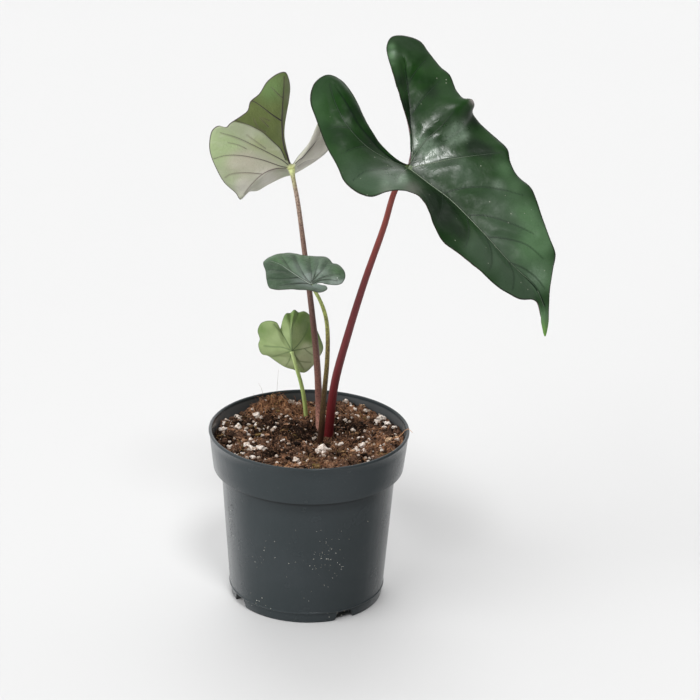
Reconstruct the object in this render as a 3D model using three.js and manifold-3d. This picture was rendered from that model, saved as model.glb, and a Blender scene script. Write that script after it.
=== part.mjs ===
// A potted purple cloak alocasia: a round nursery pot, its soil, and four leaves on their stalks.
// Millimetres, +Z up. The front of the plant looks along -Y.

import * as THREE from "three";
import { mergeVertices } from "three/addons/utils/BufferGeometryUtils.js";
import Module from "manifold-3d";

const wasm = await Module();
wasm.setup();

// Pot: a standard 12 cm nursery pot
const POT_HEIGHT = 107;
const RIM_RADIUS = 60;
const BAND_HEIGHT = 24;
const BAND_FOOT_RADIUS = 57;
const BODY_TOP_RADIUS = 52.3;
const BODY_FOOT_RADIUS = 46.3;
const WALL = 1.5;
const LIP = 2;
const FLOOR_HEIGHT = 5.4;
const FLOOR_THICKNESS = 1.8;
const FOOT_HEIGHT = 6.5;
const FOOT_INSET = 0.5;
const FOOT_WIDTH = 3.2;
const NOTCH_ANGLES = [31, 121, 211, 301];
const NOTCH_HEIGHT = 5.4;
const NOTCH_TOP_WIDTH = 9;
const NOTCH_FOOT_WIDTH = 14;
const DRAIN_RADIUS = 4;
const DRAIN_DISTANCE = 35;
const POT_SIDES = 48;

// Soil: nearly level with the rim in front, lower behind, with a mound at the back left
const CLEARANCE = 0.3;
const SOIL_MIDDLE = 101.6;
const SOIL_FALL = 2.6;
const SOIL_EDGE_RADIUS = 56.6;
const SOIL_RINGS = 7;
const MOUND = { x: -25, y: 49, height: 5.2, spread: 13 };
const GRAIN_COUNT = 28;
const GRAIN_SIZES = [0.8, 1.7];
const CRUMB_COUNT = 12;
const CRUMB_SIZES = [1.1, 2.6];
const SOIL_SEED = 12;
const STEM_BERTH = 6;

// The large grains of perlite that lie on the soil, as [x, y, radius]
const LARGE_GRAINS = [
  [-44, 29, 2.1], [-32, 28, 2], [-43, 8, 2.2], [-33, -26, 2], [-27.5, -25, 1.7], [8, -26, 2.4],
  [5, -30, 1.8], [28, -25, 2], [26, 7, 1.9], [34, 40, 1.8], [41, 20, 1.9], [-6, -41, 2],
  [-9, 51, 1.8], [-51, 4, 1.8],
];

// Blades are drawn as the plant is looked at from the front and a little above,
// each point as [right, up, toward the onlooker] from the joint of blade and stalk.
const VIEW_TILT = THREE.MathUtils.degToRad(21.8);
const RIGHT = new THREE.Vector3(1, 0, 0);
const UP = new THREE.Vector3(0, Math.sin(VIEW_TILT), Math.cos(VIEW_TILT));
const TOWARD = new THREE.Vector3(0, -Math.cos(VIEW_TILT), Math.sin(VIEW_TILT));

const BLADE_THICKNESS = 0.9;
const BLADE_ROWS = [0, 0.08, 0.28, 0.52, 0.76, 1];

// A side this wide swells fully between rib and margin, and a narrower one in proportion
const SWELL_WIDTH = 26;

// The large leaf: dark, its upper side to the front, its tip hanging to the right
const LARGE = {
  joint: [53.7, -6, 272.4],
  seen: "upper",
  midrib: [[13, -9.5, 2], [24, -17.5, 4], [42, -35, 8], [59.5, -53.5, 10], [74, -67, 9], [79.5, -76.5, 7]],
  leftRib: [[-9, 4, 4], [-21, 14, 9], [-30, 25.5, 11.5], [-37, 37, 10], [-42.5, 45, 6]],
  rightRib: [[2, 13.5, -3], [0.5, 29.5, -8], [-0.5, 45, -13], [-2.5, 61, -19]],
  tip: [80.5, -94, 1],
  tipToLeft: [
    [78, -86.5, 4], [76, -76.5, 8], [72.5, -73.5, 13], [64.5, -73.5, 20], [56.5, -70, 25], [48, -64.5, 29],
    [40, -57.5, 31], [30, -50, 32], [20, -42.5, 33], [15, -34.5, 33], [11, -25, 34], [5.5, -18, 36],
  ],
  leftShoulder: [-2.5, -15, 37],
  leftOuter: [
    [-11.5, -16, 38], [-20, -19, 38], [-28, -17, 36], [-35.5, -11, 32], [-40.5, -1, 27], [-47, 11, 19],
    [-52.5, 25, 11], [-56.5, 37.5, 5], [-54, 47.5, 2],
  ],
  leftLobe: [-47, 52, 2],
  leftInner: [
    [-39.5, 49.5, 0.5], [-33.5, 43, 2], [-30, 37, 4], [-24, 24.5, 5.5], [-17.5, 14.5, 5.5], [-7.5, 5.5, 3],
  ],
  sinus: [0.5, 2.2, 1],
  rightInner: [
    [1.5, 10.5, -2], [1, 21, -4], [-3.5, 35.5, -5], [-8, 49.5, -10], [-12, 63, -17], [-13.5, 72, -24],
  ],
  rightLobe: [-10.5, 78, -28],
  rightOuter: [
    [-3, 79, -30], [6, 76.5, -30], [11.5, 69, -29], [18, 61, -25], [23.5, 56, -22], [27.5, 46.5, -17],
    [31, 42, -13], [36, 41, -8], [37.7, 38.5, -12], [37, 34, -19], [42, 28, -20],
  ],
  rightShoulder: [51.5, 19.5, -17],
  rightToTip: [
    [57.5, 13, -13], [59, 6, -11], [63, -1.5, -11], [71, -9, -8], [74.5, -17, -4], [78, -27.5, -3],
    [82, -38, 0], [85.3, -47, 1], [84, -56, 1], [82.5, -66.5, 4], [82, -77, 6], [82, -86.5, 4],
  ],
  stations: { side: 26, lobe: 16 },
  veins: { side: 4, lobe: 2 },
  crown: 1.6,
  quilt: 1.3,
  rib: 0.9,
};

// The tall leaf: behind, its pale underside to the front, folded back along its midrib
const TALL = {
  joint: [-13, 10, 265.2],
  seen: "under",
  midrib: [[-5, 0.5, 1], [-10, -0.5, 2], [-15.5, -4, 3], [-21.5, -9, 2], [-26.5, -14, -1]],
  leftRib: [[-3.5, 6, 3], [-5.5, 15.5, 8], [-6, 30.5, 15], [-5.5, 42, 19]],
  rightRib: [[5.5, 6.5, -2], [11.5, 13.5, -6], [16.5, 22.5, -11]],
  tip: [-29.5, -18, -5],
  tipToLeft: [
    [-32, -14.5, -2], [-38.5, -9, 4], [-43, -1.5, 8], [-46.5, 7, 12], [-47, 13, 14], [-45.5, 20, 15],
  ],
  leftShoulder: [-42, 22.5, 16],
  leftOuter: [
    [-37.5, 22, 15], [-35.5, 24, 16], [-29.5, 28, 18], [-25.5, 31.5, 18], [-24, 36.5, 19], [-19, 41, 20],
    [-14.5, 48, 22], [-8.5, 52.5, 23],
  ],
  leftLobe: [-4.5, 53.5, 22],
  leftInner: [
    [-2.5, 50.5, 19], [-1.5, 44, 14], [-3, 35.5, 11], [-4.5, 27, 9], [-4.5, 18.5, 6], [-2.5, 9, 2],
  ],
  sinus: [0, 2.8, 0],
  rightInner: [[3.5, 7.5, -4], [10, 16.5, -8], [13.5, 25.5, -11], [16.5, 32, -13]],
  rightLobe: [20.5, 35.5, -14],
  rightOuter: [[25, 32.5, -15], [25.5, 23.5, -20], [20.5, 13.5, -28], [14, 8, -34]],
  rightShoulder: [6, 3, -37],
  rightToTip: [
    [0, -0.5, -37], [-5.5, -2.5, -34], [-10, -5, -31], [-15, -8, -28], [-20, -11.5, -22], [-25, -13, -13],
  ],
  stations: { side: 18, lobe: 14 },
  veins: { side: 4, lobe: 3 },
  crown: -0.8,
  quilt: 0.9,
  rib: 0.7,
};

// The small leaf: dark, nearly level, its tip to the left
const SMALL = {
  joint: [0, -25, 206.6],
  seen: "upper",
  midrib: [[-4.5, 2.5, -2], [-11.5, 7.5, -7], [-19, 12, -12], [-24, 13.5, -15]],
  leftRib: [[3, -1.5, 3], [6, -1.5, 4.5]],
  rightRib: [[4, 3, -3], [9, 5, -5.5], [14, 6, -7]],
  tip: [-28, 13, -16],
  tipToLeft: [[-26.5, 8, -9], [-25.5, 2.5, -1], [-23.5, -2, 5], [-19.5, -3, 9], [-12, -2.5, 12.5]],
  leftShoulder: [-4, -2.5, 14],
  leftOuter: [[0.5, -2.7, 13.5], [4, -3.5, 12], [7.5, -3, 9.5]],
  leftLobe: [9.5, -1.5, 7],
  leftInner: [[8.5, 0, 4.5], [5.5, 0.8, 1.5]],
  sinus: [2.8, 1.2, -0.5],
  rightInner: [[6, 2, -1.5], [9.5, 1.2, -2], [14, 0.7, -3], [17.5, 1.7, -4.5]],
  rightLobe: [19.5, 5.5, -8],
  rightOuter: [[18.5, 9.5, -11.5], [15, 13, -15], [12, 13.7, -15.5], [10.5, 15.5, -17.5], [8, 17.5, -20]],
  rightShoulder: [1, 18, -22],
  rightToTip: [[-6.5, 18.5, -23], [-13.5, 19.5, -24], [-20.5, 18.5, -22], [-25.5, 16, -19]],
  stations: { side: 13, lobe: 9 },
  veins: { side: 3, lobe: 2 },
  crown: 0.8,
  quilt: 0.7,
  rib: 0.5,
};

// The young leaf: light green and scalloped, its underside to the front, behind the tall stalk
const YOUNG = {
  joint: [-11.5, 24, 146.1],
  seen: "under",
  midrib: [[3, -4, -3.5], [5.5, -8.5, -7.5]],
  leftRib: [[-4, 3, 0], [-8, 9, 1], [-10.5, 14, 1]],
  rightRib: [[-0.2, 5.5, 1], [-0.8, 13, 3], [0, 19, 3.5]],
  tip: [7.5, -12.5, -11],
  tipToLeft: [[0.5, -10.7, -11], [-4, -9.5, -10.5], [-9, -6.7, -10], [-14.5, -3, -9.5], [-18.5, -1.8, -9]],
  leftShoulder: [-20.5, 3.5, -7],
  leftOuter: [[-19.7, 7, -7.5], [-21, 12, -5], [-19, 16.5, -2], [-15.5, 18, 0]],
  leftLobe: [-12, 18, 1],
  leftInner: [[-9.5, 17, 1]],
  sinus: [-7.4, 13.5, -0.5],
  rightInner: [[-6, 18.5, 1], [-4, 22.7, 3], [-1.5, 23, 1.5]],
  rightLobe: [1, 25, 3],
  rightOuter: [[3.5, 23.5, 0.5], [6.5, 24.3, 0], [10, 22, -3], [13, 16.5, -6]],
  rightShoulder: [16.5, 9, -8],
  rightToTip: [[18.5, 2.5, -10], [16.5, -2.5, -11.5], [12.5, -8.3, -12]],
  stations: { side: 11, lobe: 9 },
  veins: { side: 2, lobe: 2 },
  crown: -0.5,
  quilt: 0.6,
  rib: 0.4,
};

// Stalks: the route of each as [x, y, z] from its foot in the soil to the joint, and its radii
const STALK_SIDES = 10;
const STALK_STEPS = 22;
const STALKS = {
  large: {
    route: [
      [10.6, 8.6, 78], [11.8, 7.9, 101], [14.6, 6.3, 133], [21.9, 3.9, 166], [31, 1, 201],
      [41.3, -2.2, 236], [46.8, -4, 258], [53.7, -6, 272.4],
    ],
    footRadius: 3,
    tipRadius: 1.6,
  },
  tall: {
    route: [
      [7, 17.2, 78], [6, 16.6, 101], [4.6, 15.9, 130], [2.8, 15, 153], [-1.5, 13.7, 189],
      [-5.6, 12.4, 220], [-9.3, 11, 246], [-11.8, 10.2, 259], [-13, 10, 265.2],
    ],
    footRadius: 2.6,
    tipRadius: 1.2,
  },
  small: {
    route: [
      [5.6, 4, 78], [7, -0.2, 101], [8.5, -5.2, 130], [10, -10.6, 154], [10, -15.5, 174],
      [8.6, -18.4, 186], [5.5, -21.2, 196], [2.2, -23.4, 203], [0, -25, 206.6],
    ],
    footRadius: 2.1,
    tipRadius: 1,
  },
  young: {
    route: [
      [-1.6, 32.6, 80], [-2.6, 31.4, 101], [-4.1, 29.2, 115], [-6, 27.2, 125], [-8.6, 25.2, 135],
      [-11.5, 24, 146.1],
    ],
    footRadius: 1.5,
    tipRadius: 1.1,
  },
};

// Solids from closed meshes, and meshes from solids
function solidOf(geometry) {
  const bare = geometry.clone();
  bare.deleteAttribute("normal");
  bare.deleteAttribute("uv");
  const merged = mergeVertices(bare, 1e-4);
  const vertProperties = new Float32Array(merged.attributes.position.array);
  const triVerts = new Uint32Array(merged.index.array);
  return new wasm.Manifold(new wasm.Mesh({ numProp: 3, vertProperties, triVerts }));
}

function geometryOf(solid) {
  const mesh = solid.getMesh();
  const geometry = new THREE.BufferGeometry();
  geometry.setAttribute("position", new THREE.BufferAttribute(mesh.vertProperties, 3));
  geometry.setIndex(new THREE.BufferAttribute(mesh.triVerts, 1));
  return geometry;
}

function largestPiece(solid) {
  const pieces = solid.decompose();
  return pieces.reduce((best, piece) => (piece.volume() > best.volume() ? piece : best));
}

function seededRandom(seed) {
  let state = seed;
  return () => {
    state = (state * 1664525 + 1013904223) % 4294967296;
    return state / 4294967296;
  };
}

// Pot: one turned shell, with four drain notches through its foot and a hole in the floor by each
function bodyRadius(z) {
  const top = POT_HEIGHT - BAND_HEIGHT;
  return THREE.MathUtils.lerp(BODY_FOOT_RADIUS, BODY_TOP_RADIUS, z / top);
}

function potProfile() {
  const shelf = POT_HEIGHT - BAND_HEIGHT;
  const floorTop = FLOOR_HEIGHT + FLOOR_THICKNESS;
  const footRadius = BODY_FOOT_RADIUS - FOOT_INSET;
  const outside = [
    [0, FLOOR_HEIGHT],
    [footRadius - FOOT_WIDTH - 0.4, FLOOR_HEIGHT],
    [footRadius - FOOT_WIDTH, 0],
    [footRadius - 0.6, 0],
    [footRadius, 0.6],
    [bodyRadius(FOOT_HEIGHT) - FOOT_INSET, FOOT_HEIGHT - 0.3],
    [bodyRadius(FOOT_HEIGHT), FOOT_HEIGHT + 0.3],
    [BODY_TOP_RADIUS, shelf],
    [BAND_FOOT_RADIUS - 0.5, shelf + 0.2],
    [BAND_FOOT_RADIUS, shelf + 0.9],
    [RIM_RADIUS - 0.7, POT_HEIGHT - LIP - 0.4],
    [RIM_RADIUS - 0.1, POT_HEIGHT - LIP + 0.3],
  ];
  const lip = [
    [RIM_RADIUS, POT_HEIGHT - 0.8],
    [RIM_RADIUS - 0.6, POT_HEIGHT - 0.1],
    [RIM_RADIUS - 1.4, POT_HEIGHT],
    [RIM_RADIUS - LIP - 0.2, POT_HEIGHT - 0.4],
    [RIM_RADIUS - LIP - 0.5, POT_HEIGHT - 1.4],
  ];
  const inside = innerWall().reverse();
  return [...outside, ...lip, ...inside, [0, floorTop]];
}

function innerWall() {
  const shelf = POT_HEIGHT - BAND_HEIGHT + WALL;
  const floorTop = FLOOR_HEIGHT + FLOOR_THICKNESS;
  return [
    [bodyRadius(floorTop) - WALL, floorTop],
    [bodyRadius(shelf) - WALL, shelf],
    [BAND_FOOT_RADIUS - WALL, shelf + 0.6],
  ];
}

function turned(profile) {
  const points = profile.map(([radius, z]) => new THREE.Vector2(radius, z));
  const geometry = new THREE.LatheGeometry(points, POT_SIDES);
  geometry.rotateX(Math.PI / 2);
  return geometry;
}

function potGeometry() {
  const half = NOTCH_TOP_WIDTH / 2;
  const halfFoot = NOTCH_FOOT_WIDTH / 2;
  const outline = new THREE.Shape();
  outline.moveTo(-halfFoot, -1);
  outline.lineTo(halfFoot, -1);
  outline.lineTo(half, NOTCH_HEIGHT);
  outline.lineTo(-half, NOTCH_HEIGHT);
  outline.closePath();
  let solid = solidOf(turned(potProfile()));
  for (const angle of NOTCH_ANGLES) {
    const notch = new THREE.ExtrudeGeometry(outline, { depth: 12, bevelEnabled: false });
    notch.rotateX(Math.PI / 2);
    notch.rotateZ(Math.PI);
    notch.translate(0, BODY_FOOT_RADIUS - 10, 0);
    notch.rotateZ(THREE.MathUtils.degToRad(angle));
    solid = solid.subtract(solidOf(notch));
    const drain = new THREE.CylinderGeometry(DRAIN_RADIUS, DRAIN_RADIUS, 4 * FLOOR_THICKNESS, 16);
    drain.rotateX(Math.PI / 2);
    drain.translate(0, DRAIN_DISTANCE, FLOOR_HEIGHT);
    drain.rotateZ(THREE.MathUtils.degToRad(angle));
    solid = solid.subtract(solidOf(drain));
  }
  return geometryOf(solid);
}

// Stalks: a cylinder that tapers and bends along its route
function stalkGeometry(stalk, grow) {
  const points = stalk.route.map((point) => new THREE.Vector3(...point));
  const down = points[0].clone().sub(points[1]).setLength(grow);
  points[0].add(down);
  const route = new THREE.CatmullRomCurve3(points, false, "centripetal");
  const frames = route.computeFrenetFrames(STALK_STEPS, false);
  const geometry = new THREE.CylinderGeometry(1, 1, 1, STALK_SIDES, STALK_STEPS);
  const place = geometry.attributes.position;
  for (let i = 0; i < place.count; i += 1) {
    const along = place.getY(i) + 0.5;
    const step = Math.round(along * STALK_STEPS);
    const radius = THREE.MathUtils.lerp(stalk.footRadius, stalk.tipRadius, Math.pow(along, 0.8)) + grow;
    const point = route.getPointAt(step / STALK_STEPS);
    point.addScaledVector(frames.normals[step], place.getZ(i) * radius);
    point.addScaledVector(frames.binormals[step], place.getX(i) * radius);
    place.setXYZ(i, point.x, point.y, point.z);
  }
  return geometry;
}

// Soil: a turned body that fills the pot, with an uneven top and grains sunk into it
function soilHeight(x, y) {
  const fall = SOIL_MIDDLE - (SOIL_FALL * y) / SOIL_EDGE_RADIUS;
  const away = Math.hypot(x - MOUND.x, y - MOUND.y) / MOUND.spread;
  const mound = MOUND.height * Math.exp(-away * away);
  const clods = 0.8 * Math.sin(0.31 * x + 1.3) * Math.sin(0.27 * y + 0.4);
  const fines = 0.45 * Math.sin(0.83 * x + 0.41 * y) * Math.cos(0.67 * y - 0.2 * x);
  return fall + mound + clods + fines;
}

function soilBody() {
  const wall = innerWall().map(([radius, z]) => [radius - CLEARANCE, z + CLEARANCE]);
  const top = [];
  for (let ring = 0; ring <= SOIL_RINGS; ring += 1) {
    top.push([SOIL_EDGE_RADIUS * (1 - ring / SOIL_RINGS), SOIL_MIDDLE]);
  }
  const geometry = turned([[0, wall[0][1]], ...wall, ...top]);
  const place = geometry.attributes.position;
  for (let i = 0; i < place.count; i += 1) {
    if (place.getZ(i) > SOIL_MIDDLE - 1) {
      place.setZ(i, soilHeight(place.getX(i), place.getY(i)));
    }
  }
  return geometry;
}

function grain(x, y, radius, flat, random) {
  const geometry = new THREE.IcosahedronGeometry(radius, 0);
  geometry.scale(1, 0.7 + 0.3 * random(), flat);
  geometry.rotateZ(2 * Math.PI * random());
  geometry.translate(x, y, soilHeight(x, y) + 0.15 * radius);
  return geometry;
}

function soilGeometry() {
  const random = seededRandom(SOIL_SEED);
  const feet = Object.values(STALKS).map((stalk) => stalk.route[1]);
  const lumps = LARGE_GRAINS.map(([x, y, radius]) => grain(x, y, radius, 0.8, random));
  const scatter = (count, [least, most], flat) => {
    for (let i = 0; i < count; i += 1) {
      const angle = 2 * Math.PI * random();
      const reach = (SOIL_EDGE_RADIUS - 4) * Math.sqrt(random());
      const radius = THREE.MathUtils.lerp(least, most, random() ** 2);
      const x = reach * Math.cos(angle);
      const y = reach * Math.sin(angle);
      if (feet.every((foot) => Math.hypot(x - foot[0], y - foot[1]) > STEM_BERTH)) {
        lumps.push(grain(x, y, radius, flat, random));
      }
    }
  };
  scatter(GRAIN_COUNT, GRAIN_SIZES, 0.85);
  scatter(CRUMB_COUNT, CRUMB_SIZES, 0.6);
  let solid = solidOf(soilBody());
  for (const lump of lumps) {
    solid = solid.add(solidOf(lump));
  }
  for (const stalk of Object.values(STALKS)) {
    solid = solid.subtract(solidOf(stalkGeometry(stalk, CLEARANCE)));
  }
  return geometryOf(largestPiece(solid));
}

// Blades: a skin from the ribs out to the margin, which then gets its thickness
function placed([right, up, toward], joint) {
  return new THREE.Vector3(...joint)
    .addScaledVector(RIGHT, right)
    .addScaledVector(UP, up)
    .addScaledVector(TOWARD, toward);
}

// One run of the margin beside one rib: as many stations on both, so the two sides of a rib meet
function bladeRuns(leaf) {
  const margin = [
    leaf.tip, ...leaf.tipToLeft,
    leaf.leftShoulder, ...leaf.leftOuter,
    leaf.leftLobe, ...leaf.leftInner,
    leaf.sinus, ...leaf.rightInner,
    leaf.rightLobe, ...leaf.rightOuter,
    leaf.rightShoulder, ...leaf.rightToTip,
  ];
  const smooth = (points, closed) => {
    const places = points.map((point) => placed(point, leaf.joint));
    return new THREE.CatmullRomCurve3(places, closed, "centripetal");
  };
  const ribCurve = (rib) => smooth([[0, 0, 0], ...rib], false);
  const curve = smooth(margin, true);
  const midrib = ribCurve(leaf.midrib);
  const leftRib = ribCurve(leaf.leftRib);
  const rightRib = ribCurve(leaf.rightRib);
  const plan = [
    { rib: midrib, outward: false, points: leaf.tipToLeft, kind: "side" },
    { rib: leftRib, outward: true, points: leaf.leftOuter, kind: "lobe" },
    { rib: leftRib, outward: false, points: leaf.leftInner, kind: "lobe" },
    { rib: rightRib, outward: true, points: leaf.rightInner, kind: "lobe" },
    { rib: rightRib, outward: false, points: leaf.rightOuter, kind: "lobe" },
    { rib: midrib, outward: true, points: leaf.rightToTip, kind: "side" },
  ];
  let start = 0;
  for (const run of plan) {
    run.start = start / margin.length;
    start += run.points.length + 1;
    run.end = start / margin.length;
  }
  return { curve, plan };
}

function bladeStations(leaf) {
  const { curve, plan } = bladeRuns(leaf);
  const stations = [];
  for (const run of plan) {
    const count = leaf.stations[run.kind];
    const veins = leaf.veins[run.kind];
    for (let k = 0; k < count; k += 1) {
      const along = k / count;
      const ribAlong = run.outward ? along : 1 - along;
      stations.push({
        edge: curve.getPoint(THREE.MathUtils.lerp(run.start, run.end, along) % 1),
        foot: run.rib.getPointAt(ribAlong),
        ribSize: leaf.rib * (1 - 0.7 * ribAlong),
        swell: Math.abs(Math.sin(Math.PI * veins * along)),
      });
    }
  }
  return stations;
}

// The skin halfway through the blade, with how far each point swells up and how thick its rib is
function bladeSkin(leaf) {
  const stations = bladeStations(leaf);
  const places = [];
  const rises = [];
  const ribs = [];
  for (const station of stations) {
    const fullness = Math.min(1, station.foot.distanceTo(station.edge) / SWELL_WIDTH);
    for (const row of BLADE_ROWS) {
      const point = station.foot.clone().lerp(station.edge, row);
      const hump = fullness * Math.sin(Math.PI * row);
      places.push(point.x, point.y, point.z);
      rises.push(hump * (leaf.crown + leaf.quilt * station.swell));
      ribs.push(row === 0 ? station.ribSize : 0);
    }
  }
  const rows = BLADE_ROWS.length;
  const index = [];
  for (let i = 0; i < stations.length; i += 1) {
    const here = i * rows;
    const next = ((i + 1) % stations.length) * rows;
    for (let j = 0; j < rows - 1; j += 1) {
      index.push(here + j, here + j + 1, next + j + 1);
      index.push(here + j, next + j + 1, next + j);
    }
  }
  const skin = new THREE.BufferGeometry();
  skin.setAttribute("position", new THREE.Float32BufferAttribute(places, 3));
  skin.setAttribute("rise", new THREE.Float32BufferAttribute(rises, 1));
  skin.setAttribute("rib", new THREE.Float32BufferAttribute(ribs, 1));
  skin.setIndex(index);
  const merged = mergeVertices(skin, 1e-4);
  merged.setIndex(withoutSlivers(merged));
  turnUp(merged, leaf.seen === "upper" ? 1 : -1);
  swell(merged);
  return merged;
}

function withoutSlivers(geometry) {
  const old = geometry.index.array;
  const kept = [];
  for (let i = 0; i < old.length; i += 3) {
    const [a, b, c] = [old[i], old[i + 1], old[i + 2]];
    if (a !== b && b !== c && c !== a) {
      kept.push(a, b, c);
    }
  }
  return kept;
}

// Makes the skin's front its upper side
function turnUp(skin, side) {
  skin.computeVertexNormals();
  const normal = skin.attributes.normal;
  let facing = 0;
  for (let i = 0; i < normal.count; i += 1) {
    facing += new THREE.Vector3().fromBufferAttribute(normal, i).dot(TOWARD);
  }
  if (facing * side < 0) {
    const index = skin.index.array;
    for (let i = 0; i < index.length; i += 3) {
      [index[i], index[i + 1]] = [index[i + 1], index[i]];
    }
    skin.computeVertexNormals();
  }
}

function swell(skin) {
  const { position, normal, rise } = skin.attributes;
  for (let i = 0; i < position.count; i += 1) {
    const point = new THREE.Vector3().fromBufferAttribute(position, i);
    point.addScaledVector(new THREE.Vector3().fromBufferAttribute(normal, i), rise.getX(i));
    position.setXYZ(i, point.x, point.y, point.z);
  }
  skin.computeVertexNormals();
}

// Gives a skin its thickness: the same triangles above and below, and a wall round the margin
function thickened(skin, grow) {
  const { position, normal, rib } = skin.attributes;
  const count = position.count;
  const places = new Float32Array(6 * count);
  for (let i = 0; i < count; i += 1) {
    const point = new THREE.Vector3().fromBufferAttribute(position, i);
    const up = new THREE.Vector3().fromBufferAttribute(normal, i);
    const above = point.clone().addScaledVector(up, BLADE_THICKNESS / 2 + grow);
    const below = point.clone().addScaledVector(up, -BLADE_THICKNESS / 2 - rib.getX(i) - grow);
    above.toArray(places, 3 * i);
    below.toArray(places, 3 * (count + i));
  }
  const upper = Array.from(skin.index.array);
  const index = [...upper];
  const edges = new Set();
  for (let i = 0; i < upper.length; i += 3) {
    const corners = [upper[i], upper[i + 1], upper[i + 2]];
    index.push(corners[2] + count, corners[1] + count, corners[0] + count);
    corners.forEach((corner, k) => edges.add(corner + "_" + corners[(k + 1) % 3]));
  }
  for (const edge of edges) {
    const [a, b] = edge.split("_").map(Number);
    if (!edges.has(b + "_" + a)) {
      index.push(b, a, a + count);
      index.push(b, a + count, b + count);
    }
  }
  const geometry = new THREE.BufferGeometry();
  geometry.setAttribute("position", new THREE.BufferAttribute(places, 3));
  geometry.setIndex(index);
  return geometry;
}

// Assembly
const POT_PLASTIC = { color: 0x33383c, roughness: 0.42, metalness: 0 };
const POTTING_SOIL = { color: 0x3a261d, roughness: 0.95, metalness: 0 };
const LEAVES = {
  large: { leaf: LARGE, blade: 0x1f4a2e, stalk: 0x7c2f33 },
  tall: { leaf: TALL, blade: 0x8f9d84, stalk: 0x5b3a35 },
  small: { leaf: SMALL, blade: 0x34503f, stalk: 0x7c7a44 },
  young: { leaf: YOUNG, blade: 0x86ad66, stalk: 0x9cc45c },
};

const plant = new THREE.Group();

function addPiece(name, geometry, finish) {
  const mesh = new THREE.Mesh(geometry, new THREE.MeshStandardMaterial(finish));
  mesh.name = name;
  plant.add(mesh);
}

addPiece("pot", potGeometry(), POT_PLASTIC);
addPiece("soil", soilGeometry(), POTTING_SOIL);
for (const [name, { leaf, blade, stalk }] of Object.entries(LEAVES)) {
  const skin = bladeSkin(leaf);
  const berth = solidOf(thickened(skin, CLEARANCE));
  const petiole = largestPiece(solidOf(stalkGeometry(STALKS[name], 0)).subtract(berth));
  addPiece("blade_" + name, thickened(skin, 0), { color: blade, roughness: 0.35, metalness: 0 });
  addPiece("petiole_" + name, geometryOf(petiole), { color: stalk, roughness: 0.4, metalness: 0 });
}

// The origin lies on the ground, under the middle of the whole plant
const middle = new THREE.Box3().setFromObject(plant).getCenter(new THREE.Vector3());
plant.position.set(-middle.x, -middle.y, 0);

const group = new THREE.Group();
group.add(plant);

export default group;
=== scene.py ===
import math
import random

import bmesh
import bpy
from mathutils import Matrix, Vector, kdtree, noise
from mathutils.bvhtree import BVHTree


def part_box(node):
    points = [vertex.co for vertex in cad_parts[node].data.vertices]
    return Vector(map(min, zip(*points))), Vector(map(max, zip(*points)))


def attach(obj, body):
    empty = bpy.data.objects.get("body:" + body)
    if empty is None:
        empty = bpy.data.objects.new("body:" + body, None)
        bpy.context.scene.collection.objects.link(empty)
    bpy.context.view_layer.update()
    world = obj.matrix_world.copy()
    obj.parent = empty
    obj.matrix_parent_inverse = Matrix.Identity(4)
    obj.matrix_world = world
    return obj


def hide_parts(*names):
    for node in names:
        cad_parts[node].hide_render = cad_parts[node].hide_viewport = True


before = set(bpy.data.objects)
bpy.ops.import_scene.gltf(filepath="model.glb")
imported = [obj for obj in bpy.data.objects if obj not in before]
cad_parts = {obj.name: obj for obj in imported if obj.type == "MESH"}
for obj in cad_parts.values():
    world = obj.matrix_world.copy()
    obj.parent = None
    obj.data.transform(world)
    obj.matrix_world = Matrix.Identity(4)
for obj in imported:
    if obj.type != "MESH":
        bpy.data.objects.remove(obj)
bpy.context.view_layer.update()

MM = 0.001


# The pot: a round 12 cm nursery pot of thin dark slate plastic, blow-moulded in one piece.
# It has a deep rim band, a rolled lip, and a foot ring cut by four drain notches,
# with a drain hole in the floor beside each notch.
pot_low, pot_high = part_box("pot")
axis = Vector(((pot_low.x + pot_high.x) / 2, (pot_low.y + pot_high.y) / 2, 0))
pot_height = pot_high.z
rim_radius = 60 * MM
band_height = 24 * MM
band_foot = pot_height - band_height
band_foot_radius = 57 * MM
body_top_radius = 52.3 * MM
body_foot_radius = 46.3 * MM
pot_wall = 1.5 * MM
pot_floor = 5.4 * MM
floor_thickness = 1.8 * MM
foot_height = 6.5 * MM
foot_inset = 0.5 * MM
foot_width = 3.2 * MM
lip_roll = 1.05 * MM
notch_angles = [31, 121, 211, 301]
notch_height = 5.4 * MM
notch_widths = (9 * MM, 14 * MM)
drain_radius = 4 * MM
drain_distance = 35 * MM


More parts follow.
